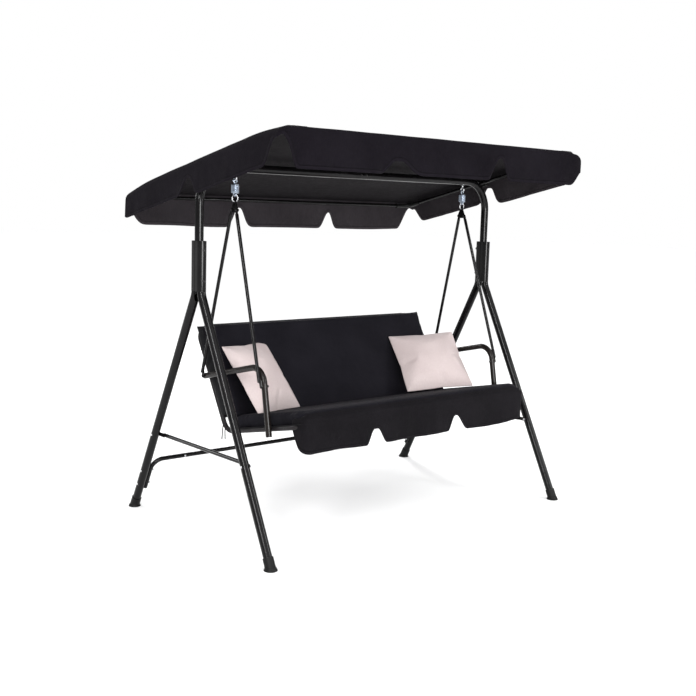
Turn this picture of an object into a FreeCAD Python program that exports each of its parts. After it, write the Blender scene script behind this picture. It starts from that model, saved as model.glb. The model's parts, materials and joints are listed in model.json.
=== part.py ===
import FreeCAD, Part

import math
import os

# A three-seat porch swing, in millimetres. X runs along the bench (left is -X for
# a person who looks at its front), +Y points to the back and +Z up. The origin is
# on the floor, midway between the four feet.

V = FreeCAD.Vector
X_AXIS = V(1, 0, 0)
Y_AXIS = V(0, 1, 0)
Z_AXIS = V(0, 0, 1)
SIDES = {"left": -1, "right": 1}
ENDS = {"front": -1, "rear": 1}

# --- clearances -------------------------------------------------------------
GAP = 0.3
RUNNING = 0.05
HOLE_SLACK = 0.2

# --- stand ------------------------------------------------------------------
SPAN = 816.0
LEG_R = 17.5
LEG_WALL = 1.4
FOOT_Y = 508.0
SPLIT_Z = 975.0
COLLAR_LOW = 985.0
COLLAR_TOP = 1181.0
COLLAR_HALF_X = 19.5
COLLAR_HALF_Y = 37.0
COLLAR_BOLT_Z = (1027.0, 1146.0)
CRADLE_SPLIT = 2.0
LEG_TOP_Y = 19.0
LEG_BEND_R = 90.0

FOOT_BASE_R = 26.0
FOOT_BASE_H = 6.0
FOOT_SLEEVE_R = 20.5
FOOT_SLEEVE_LEN = 44.0

BEAM_Z = 1467.0
BEAM_END_Z = 1000.0
BEAM_BEND_R = 136.0
BEAM_JOINT_X = 10.0
BEAM_SLEEVE_HALF = 60.0
BEAM_BOLT_OFFSET = 15.0

BRACE_Z = 353.0
BRACE_R = 8.0
BRACE_WALL = 1.2
TAB_THICK = 3.0
TAB_LEN = 34.0
ROD_TAB_LEN = 25.0

CROSSBAR_Z = 225.0
CROSSBAR_R = 9.5
CROSSBAR_WALL = 1.2
CROSSBAR_JOINT_X = 655.0
CROSSBAR_END_Z = 90.0
CROSSBAR_BOLT_Z = (113.0, 177.0)
CROSSBAR_BEND_R = 50.0
SPIGOT_LEN = 40.0

# --- swing suspension -------------------------------------------------------
HANG_X = 652.0
EYE_Z = 1428.0
EYE_R = 9.0
EYE_WIRE_R = 3.5
EYE_SHANK_R = 4.0
EYE_NUT_R = 7.5
EYE_NUT_H = 4.0
SPRING_R = 14.0
SPRING_WIRE_R = 2.2
SPRING_TOP = 1405.0
SPRING_TURNS = 8
SPRING_PITCH = 4.6
HOOK_R = 7.5
RING_R = 13.5
RING_WIRE_R = 2.3
PLATE_HOLE_Z = 1336.0
PLATE_HOLE_R = 3.2
PLATE_THICK = 4.0
ROD_R = 7.0
ROD_WALL = 1.2
ROD_BOSS = 2.8
ROD_TOP = (16.0, 1303.0)

# --- bench ------------------------------------------------------------------
SEAT_TILT = 12.2
RECLINE = 30.0
SEAT_LEN = 510.0
BACK_LEN = 471.0
CORNER = V(0, 58.0, 394.0)
FRAME_X = 636.0
FRAME_R = 10.0
FRAME_WALL = 1.3
FRAME_BEND_R = 60.0
RAIL_JOINT = 80.0
ARM_X = 659.0
ARM_R = 12.5
ARM_WALL = 1.3
ARM_BEND_R = 66.0
ARM_OVERHANG = 10.0
ARM_REAR = V(0, 184.0, 612.0)
ARM_CORNER = V(0, -217.0, 706.5)
ARM_FOOT = V(0, -266.0, 434.0)
ROD_FRONT_FOOT = V(0, -231.5, 628.0)
SLING_THICK = 1.5
SLING_HALF_X = 643.0
SLEEVE_HALF_X = 572.0
PAD_THICK = 46.0
PAD_HALF_X = 634.0
BACK_HALF_X = 627.0
SEAT_CORNER_R = 48.0
SKIRT_Y = -458.5
SKIRT_THICK = 2.5
SKIRT_TOP = 536.0
SKIRT_BOTTOM = 397.0
SKIRT_NOTCHES = (-255.0, 195.0)
SKIRT_NOTCH_TOP = 458.0
PILLOW_SIZE = 330.0
PILLOW_THICK = 108.0
PILLOW_REST = 0.6

# --- canopy -----------------------------------------------------------------
CANOPY_TILT = 13.1
PIVOT = V(0, 18.0, 1463.5)
CANOPY_X = 800.0
CANOPY_RAIL_R = 8.0
CANOPY_RAIL_WALL = 1.2
CANOPY_FRONT = 561.0
CANOPY_REAR = 521.5
ELBOW_R = 11.0
ELBOW_REACH = 60.0
ELBOW_BEND_R = 36.0
COVER_THICK = 2.5
COVER_HALF_X = 845.0
COVER_RISE = 26.0
COVER_EDGE_RISE = 12.0
COVER_FRONT_HANG = 20.0
COVER_REAR_HANG = 16.0
VALANCE_DROP = 128.0
VALANCE_NOTCH_X = 290.0
VALANCE_NOTCH_DEPTH = 58.0
CORNER_ARCH_TOP = 22.0
CORNER_ARCH_HALF = {-1: 86.0, 1: 46.0}
NOTCH_MOUTH = 42.0
NOTCH_NECK = 11.0
BRACKET_X = 782.0
BRACKET_THICK = 4.0
PIVOT_R = 4.0


# --- helpers ----------------------------------------------------------------
def save(name, *solids):
    """Write the separate solids of one node to its STEP file."""
    shape = solids[0] if len(solids) == 1 else Part.makeCompound(list(solids))
    shape.exportStep(f"parts/{name}.step")


def cyl(start, end, radius):
    """A solid bar from start to end."""
    axis = end - start
    return Part.makeCylinder(radius, axis.Length, start, axis)


def ring(start, end, outer, inner):
    """A washer or bush from start to end."""
    return cyl(start, end, outer).cut(cyl(start, end, inner))


def prism(points, depth):
    """A flat outline pushed along the vector depth."""
    face = Part.Face(Part.makePolygon(list(points) + [points[0]]))
    return face.extrude(depth)


def rounded_path(points, radius=None):
    """Straight runs joined by tangent arcs; with no radius, the widest that fit."""
    edges = []
    last = points[0]
    for before, corner, after in zip(points, points[1:], points[2:]):
        u = (before - corner).normalize()
        w = (after - corner).normalize()
        half = u.getAngle(w) / 2
        short = min((before - corner).Length, (after - corner).Length)
        bend = radius or 0.45 * short * math.tan(half)
        setback = bend / math.tan(half)
        start = corner + u * setback
        end = corner + w * setback
        middle = corner + (u + w).normalize() * (bend / math.sin(half) - bend)
        edges.append(Part.LineSegment(last, start).toShape())
        edges.append(Part.Arc(start, middle, end).toShape())
        last = end
    edges.append(Part.LineSegment(last, points[-1]).toShape())
    return Part.Wire(edges)


def rod(points, radius, bend=None):
    """A round bar along the points."""
    if len(points) == 2:
        return cyl(points[0], points[1], radius)
    path = rounded_path(points, bend)
    start = Part.Wire(Part.Circle(points[0], points[1] - points[0], radius).toShape())
    return path.makePipe(Part.Face(start))


def tube(points, radius, wall, bend=None):
    """A hollow tube along the points."""
    return rod(points, radius, bend).cut(rod(points, radius - wall, bend))


def through_bolt(centre, axis, reach_head, reach_nut, radius=4.0):
    """A bolt with a domed head behind the centre and a hexagon nut ahead of it."""
    axis = V(axis).normalize()
    head_at = centre - axis * reach_head
    nut_at = centre + axis * reach_nut
    head = Part.makeSphere(radius * 1.9, head_at + axis * radius * 0.9)
    cap = cyl(head_at - axis * radius * 1.1, head_at, radius * 1.9)
    shank = cyl(head_at - axis * 0.5, nut_at + axis * radius * 1.9, radius)
    bolt = head.common(cap).fuse(shank).removeSplitter()
    return bolt, hexagon(nut_at, axis, radius * 1.75, radius * 1.5, radius)


def hexagon(start, axis, radius, height, bore):
    """A hexagon nut on a bolt of radius bore."""
    side = axis.cross(Z_AXIS) if abs(axis.z) < 0.9 else V(1, 0, 0)
    side.normalize()
    up = axis.cross(side)
    corners = []
    for k in range(6):
        turn = math.radians(60 * k)
        corners.append(start + side * radius * math.cos(turn) + up * radius * math.sin(turn))
    nut = prism(corners, axis * height)
    return nut.cut(cyl(start - axis, start + axis * (height + 1), bore + RUNNING))


def drill(shape, centre, axis, radius, reach=60.0):
    """Cut a round hole that goes right through near the centre."""
    axis = V(axis).normalize()
    return shape.cut(cyl(centre - axis * reach, centre + axis * reach, radius))


def at_x(point, x):
    return V(x, point.y, point.z)


# --- stand ------------------------------------------------------------------
def leg_axis_y(z):
    """Distance of a leg's axis from the middle plane, at the height z."""
    return FOOT_Y + (LEG_TOP_Y - FOOT_Y) * z / SPLIT_Z


def leg_points(side, end, below):
    """Route of a leg's axis, from a point below the floor up to the cradle."""
    x = side * SPAN
    floor = V(x, end * leg_axis_y(-below), -below)
    return [floor, V(x, end * LEG_TOP_Y, SPLIT_Z), V(x, end * LEG_TOP_Y, COLLAR_LOW + 60)]


def cradle(side, end, inset):
    """The pressed top of a leg: half of a round-ended block that hugs the beam."""
    x = side * SPAN
    half_x = COLLAR_HALF_X - inset
    near = CRADLE_SPLIT / 2 + inset
    centre = COLLAR_HALF_Y - COLLAR_HALF_X
    height = COLLAR_TOP - COLLAR_LOW + 2 * inset
    low = COLLAR_LOW - inset
    block = Part.makeBox(2 * half_x, centre - near, height, V(x - half_x, near, low))
    block = block.fuse(Part.makeCylinder(half_x, height, V(x, centre, low)))
    block = block.cut(Part.makeBox(200, 100, height, V(x - 100, near - 100, low)))
    block = block.cut(Part.makeCylinder(LEG_R + RUNNING + inset, height, V(x, 0, low)))
    if end < 0:
        block = block.mirror(V(0, 0, 0), Y_AXIS)
    return block


def leg(side, end):
    outer = rod(leg_points(side, end, 30), LEG_R, LEG_BEND_R)
    inner = rod(leg_points(side, end, 30), LEG_R - LEG_WALL, LEG_BEND_R)
    x = side * SPAN
    above = Part.makeBox(200, 200, 200, V(x - 100, -100, COLLAR_LOW))
    bore = Part.makeCylinder(LEG_R + RUNNING, 400, V(x, 0, COLLAR_LOW - 40))
    below = Part.makeBox(200, 1400, 200, V(x - 100, -700, FOOT_BASE_H - 200))
    edge = end * CRADLE_SPLIT / 2
    past_split = Part.makeBox(200, 100, 400, V(x - 100, min(edge, edge - end * 100), 900))
    body = outer.cut(above).fuse(cradle(side, end, 0)).cut(inner.cut(above))
    body = body.cut(cradle(side, end, LEG_WALL)).cut(bore).cut(below).cut(past_split)
    for z in COLLAR_BOLT_Z:
        body = drill(body, V(x, 0, z), Y_AXIS, 4 + HOLE_SLACK)
    body = drill(body, V(x, end * leg_axis_y(BRACE_Z), BRACE_Z), X_AXIS, 3 + HOLE_SLACK)
    if end > 0:
        for z in CROSSBAR_BOLT_Z:
            body = drill(body, V(x, leg_axis_y(z), z), X_AXIS, 3 + HOLE_SLACK)
    return body


def foot(side, end):
    """A cup of hard rubber round the leg, with a flat flared base."""
    x = side * SPAN
    low = V(x, end * leg_axis_y(-20), -20)
    high = V(x, end * leg_axis_y(FOOT_SLEEVE_LEN), FOOT_SLEEVE_LEN)
    cup = cyl(low, high, FOOT_SLEEVE_R)
    base_y = end * leg_axis_y(FOOT_BASE_H)
    base = Part.makeCylinder(FOOT_BASE_R, FOOT_BASE_H * 0.5, V(x, base_y, 0))
    flare = Part.makeCone(FOOT_BASE_R, FOOT_SLEEVE_R + 1, FOOT_BASE_H * 1.5,
                          V(x, base_y, FOOT_BASE_H * 0.5))
    cup = cup.fuse(base).fuse(flare)
    cup = cup.cut(Part.makeBox(200, 200, 100, V(x - 100, base_y - 100, -100)))
    inside = rod(leg_points(side, end, 30), LEG_R, LEG_BEND_R)
    above_sole = Part.makeBox(200, 1400, 400, V(x - 100, -700, FOOT_BASE_H))
    return cup.cut(inside.common(above_sole)).removeSplitter()


def beam_half(side):
    """Half of the top beam: down-turned end, round bend, straight run to the joint."""
    x = side * SPAN
    points = [V(x, 0, BEAM_END_Z), V(x, 0, BEAM_Z), V(BEAM_JOINT_X, 0, BEAM_Z)]
    beam = tube(points, LEG_R, LEG_WALL, BEAM_BEND_R)
    for z in COLLAR_BOLT_Z:
        beam = drill(beam, V(x, 0, z), Y_AXIS, 4 + HOLE_SLACK)
    hole = V(side * HANG_X, 0, BEAM_Z)
    beam = beam.cut(cyl(hole - Z_AXIS * 2 * LEG_R, hole, EYE_SHANK_R + HOLE_SLACK))
    joint = V(BEAM_JOINT_X + side * BEAM_BOLT_OFFSET, 0, BEAM_Z)
    return drill(beam, joint, Y_AXIS, 3 + HOLE_SLACK)


def beam_sleeve():
    inner = LEG_R - LEG_WALL - 0.1
    low = V(BEAM_JOINT_X - BEAM_SLEEVE_HALF, 0, BEAM_Z)
    high = V(BEAM_JOINT_X + BEAM_SLEEVE_HALF, 0, BEAM_Z)
    sleeve = ring(low, high, inner, inner - 1.6)
    for side in SIDES.values():
        spot = V(BEAM_JOINT_X + side * BEAM_BOLT_OFFSET, 0, BEAM_Z)
        sleeve = drill(sleeve, spot, Y_AXIS, 3 + HOLE_SLACK)
    return sleeve


def stand_bolts():
    """Through bolts of the two collars and of the beam's joint."""
    found = []
    for side in SIDES.values():
        for z in COLLAR_BOLT_Z:
            reach = COLLAR_HALF_Y + HOLE_SLACK
            found += through_bolt(V(side * SPAN, 0, z), Y_AXIS, reach, reach)
        spot = V(BEAM_JOINT_X + side * BEAM_BOLT_OFFSET, 0, BEAM_Z)
        found += through_bolt(spot, Y_AXIS, LEG_R + HOLE_SLACK, LEG_R + HOLE_SLACK, 3.0)
    return found


def side_brace(side):
    """A tube between a front and a rear leg, with flattened, bolted ends."""
    inner_face = SPAN - LEG_R - GAP
    x = side * (inner_face - TAB_THICK / 2)
    y = leg_axis_y(BRACE_Z)
    tube_x = side * (inner_face - BRACE_R)
    tube_end = y - TAB_LEN
    bar = tube([V(tube_x, -tube_end, BRACE_Z), V(tube_x, tube_end, BRACE_Z)], BRACE_R, BRACE_WALL)
    for end in ENDS.values():
        start = end * (y - TAB_LEN - 10)
        tab = Part.makeBox(TAB_THICK, TAB_LEN + 10, 2 * BRACE_R,
                           V(x - TAB_THICK / 2, min(start, end * y), BRACE_Z - BRACE_R))
        tip = cyl(V(x - TAB_THICK / 2, end * y, BRACE_Z), V(x + TAB_THICK / 2, end * y, BRACE_Z),
                  BRACE_R)
        bar = bar.fuse(tab).fuse(tip)
    for end in ENDS.values():
        bar = drill(bar, V(x, end * y, BRACE_Z), X_AXIS, 3 + HOLE_SLACK, 20)
    return bar.removeSplitter()


def crossbar_axis_x():
    return SPAN - LEG_R - GAP - CROSSBAR_R


def crossbar_end(side):
    """A bent tube that follows the rear leg, then turns towards the middle."""
    x = side * crossbar_axis_x()
    points = [
        V(x, leg_axis_y(CROSSBAR_END_Z), CROSSBAR_END_Z),
        V(x, leg_axis_y(CROSSBAR_Z), CROSSBAR_Z),
        V(side * CROSSBAR_JOINT_X, leg_axis_y(CROSSBAR_Z), CROSSBAR_Z),
    ]
    bar = tube(points, CROSSBAR_R, CROSSBAR_WALL, CROSSBAR_BEND_R)
    spigot_r = CROSSBAR_R - CROSSBAR_WALL - 0.1
    tip = points[2] - X_AXIS * side * SPIGOT_LEN
    spigot = ring(points[2], tip, spigot_r, spigot_r - 1.0)
    neck = ring(points[2] + X_AXIS * side * 6, points[2], CROSSBAR_R - 0.5, spigot_r - 1.0)
    bar = bar.fuse(spigot).fuse(neck)
    for z in CROSSBAR_BOLT_Z:
        bar = drill(bar, V(x, leg_axis_y(z), z), X_AXIS, 3 + HOLE_SLACK, 30)
    screw = points[2] - X_AXIS * side * SPIGOT_LEN / 2
    return drill(bar, screw, Y_AXIS, 2.5 + HOLE_SLACK, 30).removeSplitter()


def crossbar_middle():
    y = leg_axis_y(CROSSBAR_Z)
    reach = CROSSBAR_JOINT_X - GAP
    bar = tube([V(-reach, y, CROSSBAR_Z), V(reach, y, CROSSBAR_Z)], CROSSBAR_R, CROSSBAR_WALL)
    for side in SIDES.values():
        screw = V(side * (CROSSBAR_JOINT_X - SPIGOT_LEN / 2), y, CROSSBAR_Z)
        bar = drill(bar, screw, Y_AXIS, 2.5 + HOLE_SLACK, 30)
    return bar


def brace_bolts():
    """Bolts that hold the side braces and the crossbar."""
    found = []
    outside = LEG_R + HOLE_SLACK
    for side in SIDES.values():
        axis = X_AXIS * -side
        for end in ENDS.values():
            spot = V(side * SPAN, end * leg_axis_y(BRACE_Z), BRACE_Z)
            found += through_bolt(spot, axis, outside, LEG_R + GAP + TAB_THICK + 0.2, 3.0)
        for z in CROSSBAR_BOLT_Z:
            spot = V(side * SPAN, leg_axis_y(z), z)
            reach = LEG_R + GAP + 2 * CROSSBAR_R + 0.2
            found += through_bolt(spot, axis, outside, reach, 3.0)
        spot = V(side * (CROSSBAR_JOINT_X - SPIGOT_LEN / 2), leg_axis_y(CROSSBAR_Z), CROSSBAR_Z)
        reach = CROSSBAR_R + HOLE_SLACK
        found += through_bolt(spot, Y_AXIS * -1, reach, reach, 2.5)
    return found


def canopy_bracket(side):
    """An upright plate on the beam's bend that carries the canopy's pivot bolt."""
    low_x = side * BRACKET_X - BRACKET_THICK / 2
    outline = [
        V(low_x, PIVOT.y - 13, 1415),
        V(low_x, PIVOT.y + 13, 1415),
        V(low_x, PIVOT.y + 13, PIVOT.z + 2),
        V(low_x, PIVOT.y + 6, PIVOT.z + 11),
        V(low_x, PIVOT.y - 6, PIVOT.z + 11),
        V(low_x, PIVOT.y - 13, PIVOT.z + 2),
    ]
    plate = prism(outline, X_AXIS * BRACKET_THICK)
    points = [V(side * SPAN, 0, BEAM_END_Z), V(side * SPAN, 0, BEAM_Z), V(0, 0, BEAM_Z)]
    plate = plate.cut(rod(points, LEG_R + 0.02, BEAM_BEND_R))
    pieces = sorted(plate.Solids, key=lambda solid: solid.CenterOfMass.z)
    return drill(pieces[-1], at_x(PIVOT, side * BRACKET_X), X_AXIS, PIVOT_R + HOLE_SLACK, 20)


def pivot_bolt(side):
    """Bolt through bracket, spacer and rail; the canopy turns on it."""
    seat = at_x(PIVOT, side * (BRACKET_X - BRACKET_THICK / 2 - GAP))
    tip = at_x(PIVOT, side * (CANOPY_X + CANOPY_RAIL_R + 17))
    head = cyl(seat - X_AXIS * side * 3, seat, 6.5)
    return head.fuse(cyl(seat, tip, PIVOT_R)).removeSplitter()


def pivot_spacer(side):
    low = at_x(PIVOT, side * (BRACKET_X + BRACKET_THICK / 2 + GAP))
    high = at_x(PIVOT, side * (CANOPY_X - CANOPY_RAIL_R - GAP))
    return ring(low, high, 7.5, PIVOT_R + RUNNING)


def pivot_knob(side):
    """A five-lobed clamping knob on the outer end of the pivot bolt."""
    low = side * (CANOPY_X + CANOPY_RAIL_R + GAP)
    hub = cyl(at_x(PIVOT, low), at_x(PIVOT, low + side * 8), 8)
    grip = cyl(at_x(PIVOT, low + side * 8), at_x(PIVOT, low + side * 24), 13)
    for k in range(5):
        turn = math.radians(72 * k)
        out = V(0, math.cos(turn), math.sin(turn)) * 13.5
        start = at_x(PIVOT, low + side * 8) + out
        grip = grip.fuse(cyl(start, start + X_AXIS * side * 16, 5))
    knob = hub.fuse(grip).removeSplitter()
    return knob.cut(cyl(at_x(PIVOT, low - side), at_x(PIVOT, low + side * 19), PIVOT_R + RUNNING))


def eye_bolt(side):
    """Eye under the beam, screwed through its lower wall between two nuts."""
    x = side * HANG_X
    eye = Part.makeTorus(EYE_R, EYE_WIRE_R, V(x, 0, EYE_Z), X_AXIS)
    shank = cyl(V(x, 0, EYE_Z + EYE_R), V(x, 0, BEAM_Z), EYE_SHANK_R)
    below = V(x, 0, BEAM_Z - LEG_R - HOLE_SLACK - EYE_NUT_H)
    inside = V(x, 0, BEAM_Z - LEG_R + LEG_WALL + 3.5)
    nuts = [hexagon(spot, Z_AXIS, EYE_NUT_R, EYE_NUT_H, EYE_SHANK_R) for spot in (below, inside)]
    return [eye.fuse(shank).removeSplitter()] + nuts


# --- suspension -------------------------------------------------------------
def swing_pivot_z():
    """Height of the hook's wire where it lies in the eye."""
    return EYE_Z - EYE_R + EYE_WIRE_R + SPRING_WIRE_R + GAP


def ring_centre_z():
    return PLATE_HOLE_Z + RING_R


def spring(side):
    """A close-wound tension spring with a loop at its top and its bottom."""
    x = side * HANG_X
    length = SPRING_TURNS * SPRING_PITCH
    low = SPRING_TOP - length
    helix = Part.makeHelix(SPRING_PITCH, length, SPRING_R)
    start = Part.Wire(Part.Circle(V(SPRING_R, 0, 0), Y_AXIS, SPRING_WIRE_R).toShape())
    coil = Part.Wire(helix).makePipeShell([start], True, True)
    coil = coil.translated(V(x, 0, low))
    top = swing_pivot_z() - HOOK_R
    upper = Part.makeTorus(HOOK_R, SPRING_WIRE_R, V(x, 0, top), Y_AXIS)
    reach = ring_centre_z() + RING_R
    lower_z = reach - RING_WIRE_R - SPRING_WIRE_R - GAP + HOOK_R
    lower = Part.makeTorus(HOOK_R, SPRING_WIRE_R, V(x, 0, lower_z), X_AXIS)
    keep_top = Part.makeBox(60, 60, 60, V(x - 30, -30, SPRING_TOP + SPRING_WIRE_R + 0.1))
    keep_low = Part.makeBox(60, 60, 60, V(x - 30, -30, low - SPRING_WIRE_R - 0.1 - 60))
    return [coil, upper.common(keep_top), lower.common(keep_low)]


def hanger_ring(side):
    """Closed link between the spring's lower loop and the hanger plate."""
    return Part.makeTorus(RING_R, RING_WIRE_R, V(side * HANG_X, 0, ring_centre_z()), Y_AXIS)


def hanger_plate(side):
    """Three-cornered plate: hole for the link above, two rod bolts below."""
    x = side * HANG_X - PLATE_THICK / 2
    y, z = ROD_TOP
    outline = [
        V(x, -7, PLATE_HOLE_Z + 2),
        V(x, 7, PLATE_HOLE_Z + 2),
        V(x, y + 8, z - 2),
        V(x, y + 4, z - 10),
        V(x, -y - 4, z - 10),
        V(x, -y - 8, z - 2),
    ]
    plate = prism(outline, X_AXIS * PLATE_THICK)
    crown = cyl(V(x, 0, PLATE_HOLE_Z), V(x + PLATE_THICK, 0, PLATE_HOLE_Z), 8)
    plate = plate.fuse(crown).removeSplitter()
    plate = drill(plate, V(x, 0, PLATE_HOLE_Z - 0.3), X_AXIS, PLATE_HOLE_R, 20)
    for end in ENDS.values():
        plate = drill(plate, V(x, end * y, z), X_AXIS, 3 + HOLE_SLACK, 20)
    return plate


def rod_ends(side, end):
    """Upper and lower bolt centres of a hanger rod, at the rod's own X."""
    upper = V(side * (HANG_X + PLATE_THICK / 2 + GAP + TAB_THICK / 2), end * ROD_TOP[0],
              ROD_TOP[1])
    foot_at = ROD_FRONT_FOOT if end < 0 else ARM_REAR
    lower = at_x(foot_at, side * (ARM_X + ARM_R + GAP + ROD_BOSS + TAB_THICK / 2))
    return upper, lower


def hanger_rod(side, end):
    """A thin tube with a flattened, drilled tab at each end and a boss at the lower one."""
    upper, lower = rod_ends(side, end)
    outward = X_AXIS * side * (ROD_R - TAB_THICK / 2)
    along = (lower + outward - upper).normalize()
    start = upper + along * 17
    stop = lower + outward - along * 17
    bar = cyl(start, stop, ROD_R).cut(cyl(start, stop, ROD_R - ROD_WALL))
    flat = V(0, along.y, along.z).normalize()
    across = flat.cross(X_AXIS)
    for bolt_at, inward in ((upper, flat), (lower, flat * -1)):
        base = bolt_at - X_AXIS * TAB_THICK / 2
        outline = [
            base + across * ROD_R,
            base + across * ROD_R + inward * ROD_TAB_LEN,
            base - across * ROD_R + inward * ROD_TAB_LEN,
            base - across * ROD_R,
        ]
        tab = prism(outline, X_AXIS * TAB_THICK)
        tab = tab.fuse(cyl(base, base + X_AXIS * TAB_THICK, ROD_R))
        bar = bar.fuse(tab)
    inner_face = lower - X_AXIS * side * TAB_THICK / 2
    bar = bar.fuse(cyl(inner_face, inner_face - X_AXIS * side * ROD_BOSS, ROD_R))
    for bolt_at in (upper, lower):
        bar = drill(bar, bolt_at, X_AXIS, 3 + HOLE_SLACK, 8)
    return bar.removeSplitter()


def hanger_bolts():
    """Bolts of the hanger plates, the rods' feet and the armrests."""
    found = []
    for side in SIDES.values():
        for end in ENDS.values():
            upper, lower = rod_ends(side, end)
            axis = X_AXIS * -side
            reach = TAB_THICK / 2 + HOLE_SLACK
            found += through_bolt(upper, axis, reach, reach + PLATE_THICK + GAP, 3.0)
            past = reach + ROD_BOSS + 2 * ARM_R + GAP
            if end > 0:
                past += 2 * FRAME_R + GAP
            found += through_bolt(lower, axis, reach, past, 3.0)
        spot = at_x(arm_bolt_point(), side * ARM_X)
        outside = ARM_R + HOLE_SLACK
        found += through_bolt(spot, X_AXIS * -side, outside, outside + 2 * FRAME_R + GAP, 3.0)
    return found


# --- bench ------------------------------------------------------------------
def seat_point(s, n):
    """Point s behind the front bar and n above the seat's tubes."""
    tilt = math.radians(SEAT_TILT)
    back = V(0, math.cos(tilt), -math.sin(tilt))
    up = V(0, math.sin(tilt), math.cos(tilt))
    return CORNER + back * (s - SEAT_LEN) + up * n


def back_point(t, m):
    """Point t up the backrest and m in front of its tubes."""
    lean = math.radians(RECLINE)
    up = V(0, math.sin(lean), math.cos(lean))
    front = V(0, -math.cos(lean), math.sin(lean))
    return CORNER + up * t + front * m


def arm_bolt_point():
    """Where an armrest's front post crosses the side tube of the seat."""
    along = (ARM_FOOT - ARM_CORNER).normalize()
    base = seat_point(0, 0)
    rail = (CORNER - base).normalize()
    cross = rail.y * along.z - rail.z * along.y
    gap = base - ARM_CORNER
    reach = (rail.y * gap.z - rail.z * gap.y) / cross
    return ARM_CORNER + along * reach


def side_frame(side):
    """One bent tube: the side of the seat and, behind it, of the backrest."""
    x = side * FRAME_X
    points = [at_x(seat_point(RAIL_JOINT, 0), x), at_x(CORNER, x),
              at_x(back_point(BACK_LEN - RAIL_JOINT, 0), x)]
    bar = tube(points, FRAME_R, FRAME_WALL, FRAME_BEND_R)
    bar = drill(bar, at_x(arm_bolt_point(), x), X_AXIS, 3 + HOLE_SLACK, 20)
    bar = drill(bar, at_x(ARM_REAR, x), X_AXIS, 3 + HOLE_SLACK, 20)
    for spot in (seat_point(RAIL_JOINT + SPIGOT_LEN / 2, 0),
                 back_point(BACK_LEN - RAIL_JOINT - SPIGOT_LEN / 2, 0)):
        bar = drill(bar, at_x(spot, x), X_AXIS, 2.5 + HOLE_SLACK, 20)
    return bar


def hoop(near, corner):
    """A U-shaped bar whose thinner ends plug into the two side frames."""
    spigot_r = FRAME_R - FRAME_WALL - 0.1
    back_by = (near - corner).normalize()
    points = [at_x(near, -FRAME_X), at_x(corner, -FRAME_X), at_x(corner, FRAME_X),
              at_x(near, FRAME_X)]
    bar = tube(points, FRAME_R, FRAME_WALL, FRAME_BEND_R)
    for side in SIDES.values():
        root = at_x(near, side * FRAME_X)
        bar = bar.fuse(ring(root - back_by * 6, root, FRAME_R - 0.5, spigot_r - 1))
        bar = bar.fuse(ring(root, root + back_by * SPIGOT_LEN, spigot_r, spigot_r - 1))
        screw = root + back_by * (SPIGOT_LEN / 2 + GAP)
        bar = drill(bar, screw, X_AXIS, 2.5 + HOLE_SLACK, 20)
    return bar.removeSplitter()


def cross_tube(spot):
    """A straight bar between the two side frames."""
    reach = FRAME_X - FRAME_R - GAP
    return tube([at_x(spot, -reach), at_x(spot, reach)], FRAME_R, FRAME_WALL)


def frame_screws():
    """Screws that hold the hoops in the side frames."""
    found = []
    for side in SIDES.values():
        for spot in (seat_point(RAIL_JOINT + SPIGOT_LEN / 2, 0),
                     back_point(BACK_LEN - RAIL_JOINT - SPIGOT_LEN / 2, 0)):
            outside = FRAME_R + HOLE_SLACK
            found += through_bolt(at_x(spot, side * FRAME_X), X_AXIS * -side, outside, outside,
                                  2.5)
    return found


def armrest(side):
    """A bent tube: level grip in front of the backrest, then a post down to the seat."""
    x = side * ARM_X
    grip = (ARM_REAR - ARM_CORNER).normalize()
    rear = ARM_REAR + grip * ARM_OVERHANG
    points = [at_x(rear, x), at_x(ARM_CORNER, x), at_x(ARM_FOOT, x)]
    bar = tube(points, ARM_R, ARM_WALL, ARM_BEND_R)
    for spot in (ARM_REAR, ROD_FRONT_FOOT, arm_bolt_point()):
        bar = drill(bar, at_x(spot, x), X_AXIS, 3 + HOLE_SLACK, 20)
    return bar


def sling(low, high, normal):
    """A stretched sheet over the side tubes and two bars, with a sleeve round each bar."""
    half = SLEEVE_HALF_X
    outer = FRAME_R + GAP + SLING_THICK
    inner = FRAME_R + GAP
    sheet_low = low + normal * inner
    sheet_high = high + normal * inner
    outline = [sheet_low, sheet_high, sheet_high + normal * SLING_THICK,
               sheet_low + normal * SLING_THICK]
    wide = SLING_HALF_X
    sheet = prism([at_x(point, -wide) for point in outline], X_AXIS * 2 * wide)
    for spot in (low, high):
        a = at_x(spot, -half)
        b = at_x(spot, half)
        sheet = sheet.fuse(cyl(a, b, outer))
    for spot in (low, high):
        sheet = sheet.cut(cyl(at_x(spot, -half - 1), at_x(spot, half + 1), inner))
    return sheet.removeSplitter()


def pad(outline, half_x, corner_r):
    """A flat cushion: side outline pushed across the bench, its edges rounded."""
    block = prism([at_x(point, -half_x) for point in outline], X_AXIS * 2 * half_x)
    long_edges = [edge for edge in block.Edges if edge.Length > 2 * half_x - 1]
    return block.makeFillet(corner_r, long_edges)


def seat_pad():
    bottom = FRAME_R + GAP + SLING_THICK + GAP
    outline = [seat_point(-14, bottom), seat_point(-14, bottom + PAD_THICK - 12),
               seat_point(30, bottom + PAD_THICK - 2)]
    front = bottom + PAD_THICK + GAP
    for n in (bottom + PAD_THICK, bottom):
        outline.append(meet(n, front))
    block = pad(outline, PAD_HALF_X, 8.0)
    up = seat_point(0, 1) - seat_point(0, 0)
    for side in SIDES.values():
        block = block.cut(seat_corner(side, up))
    return block


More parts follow.
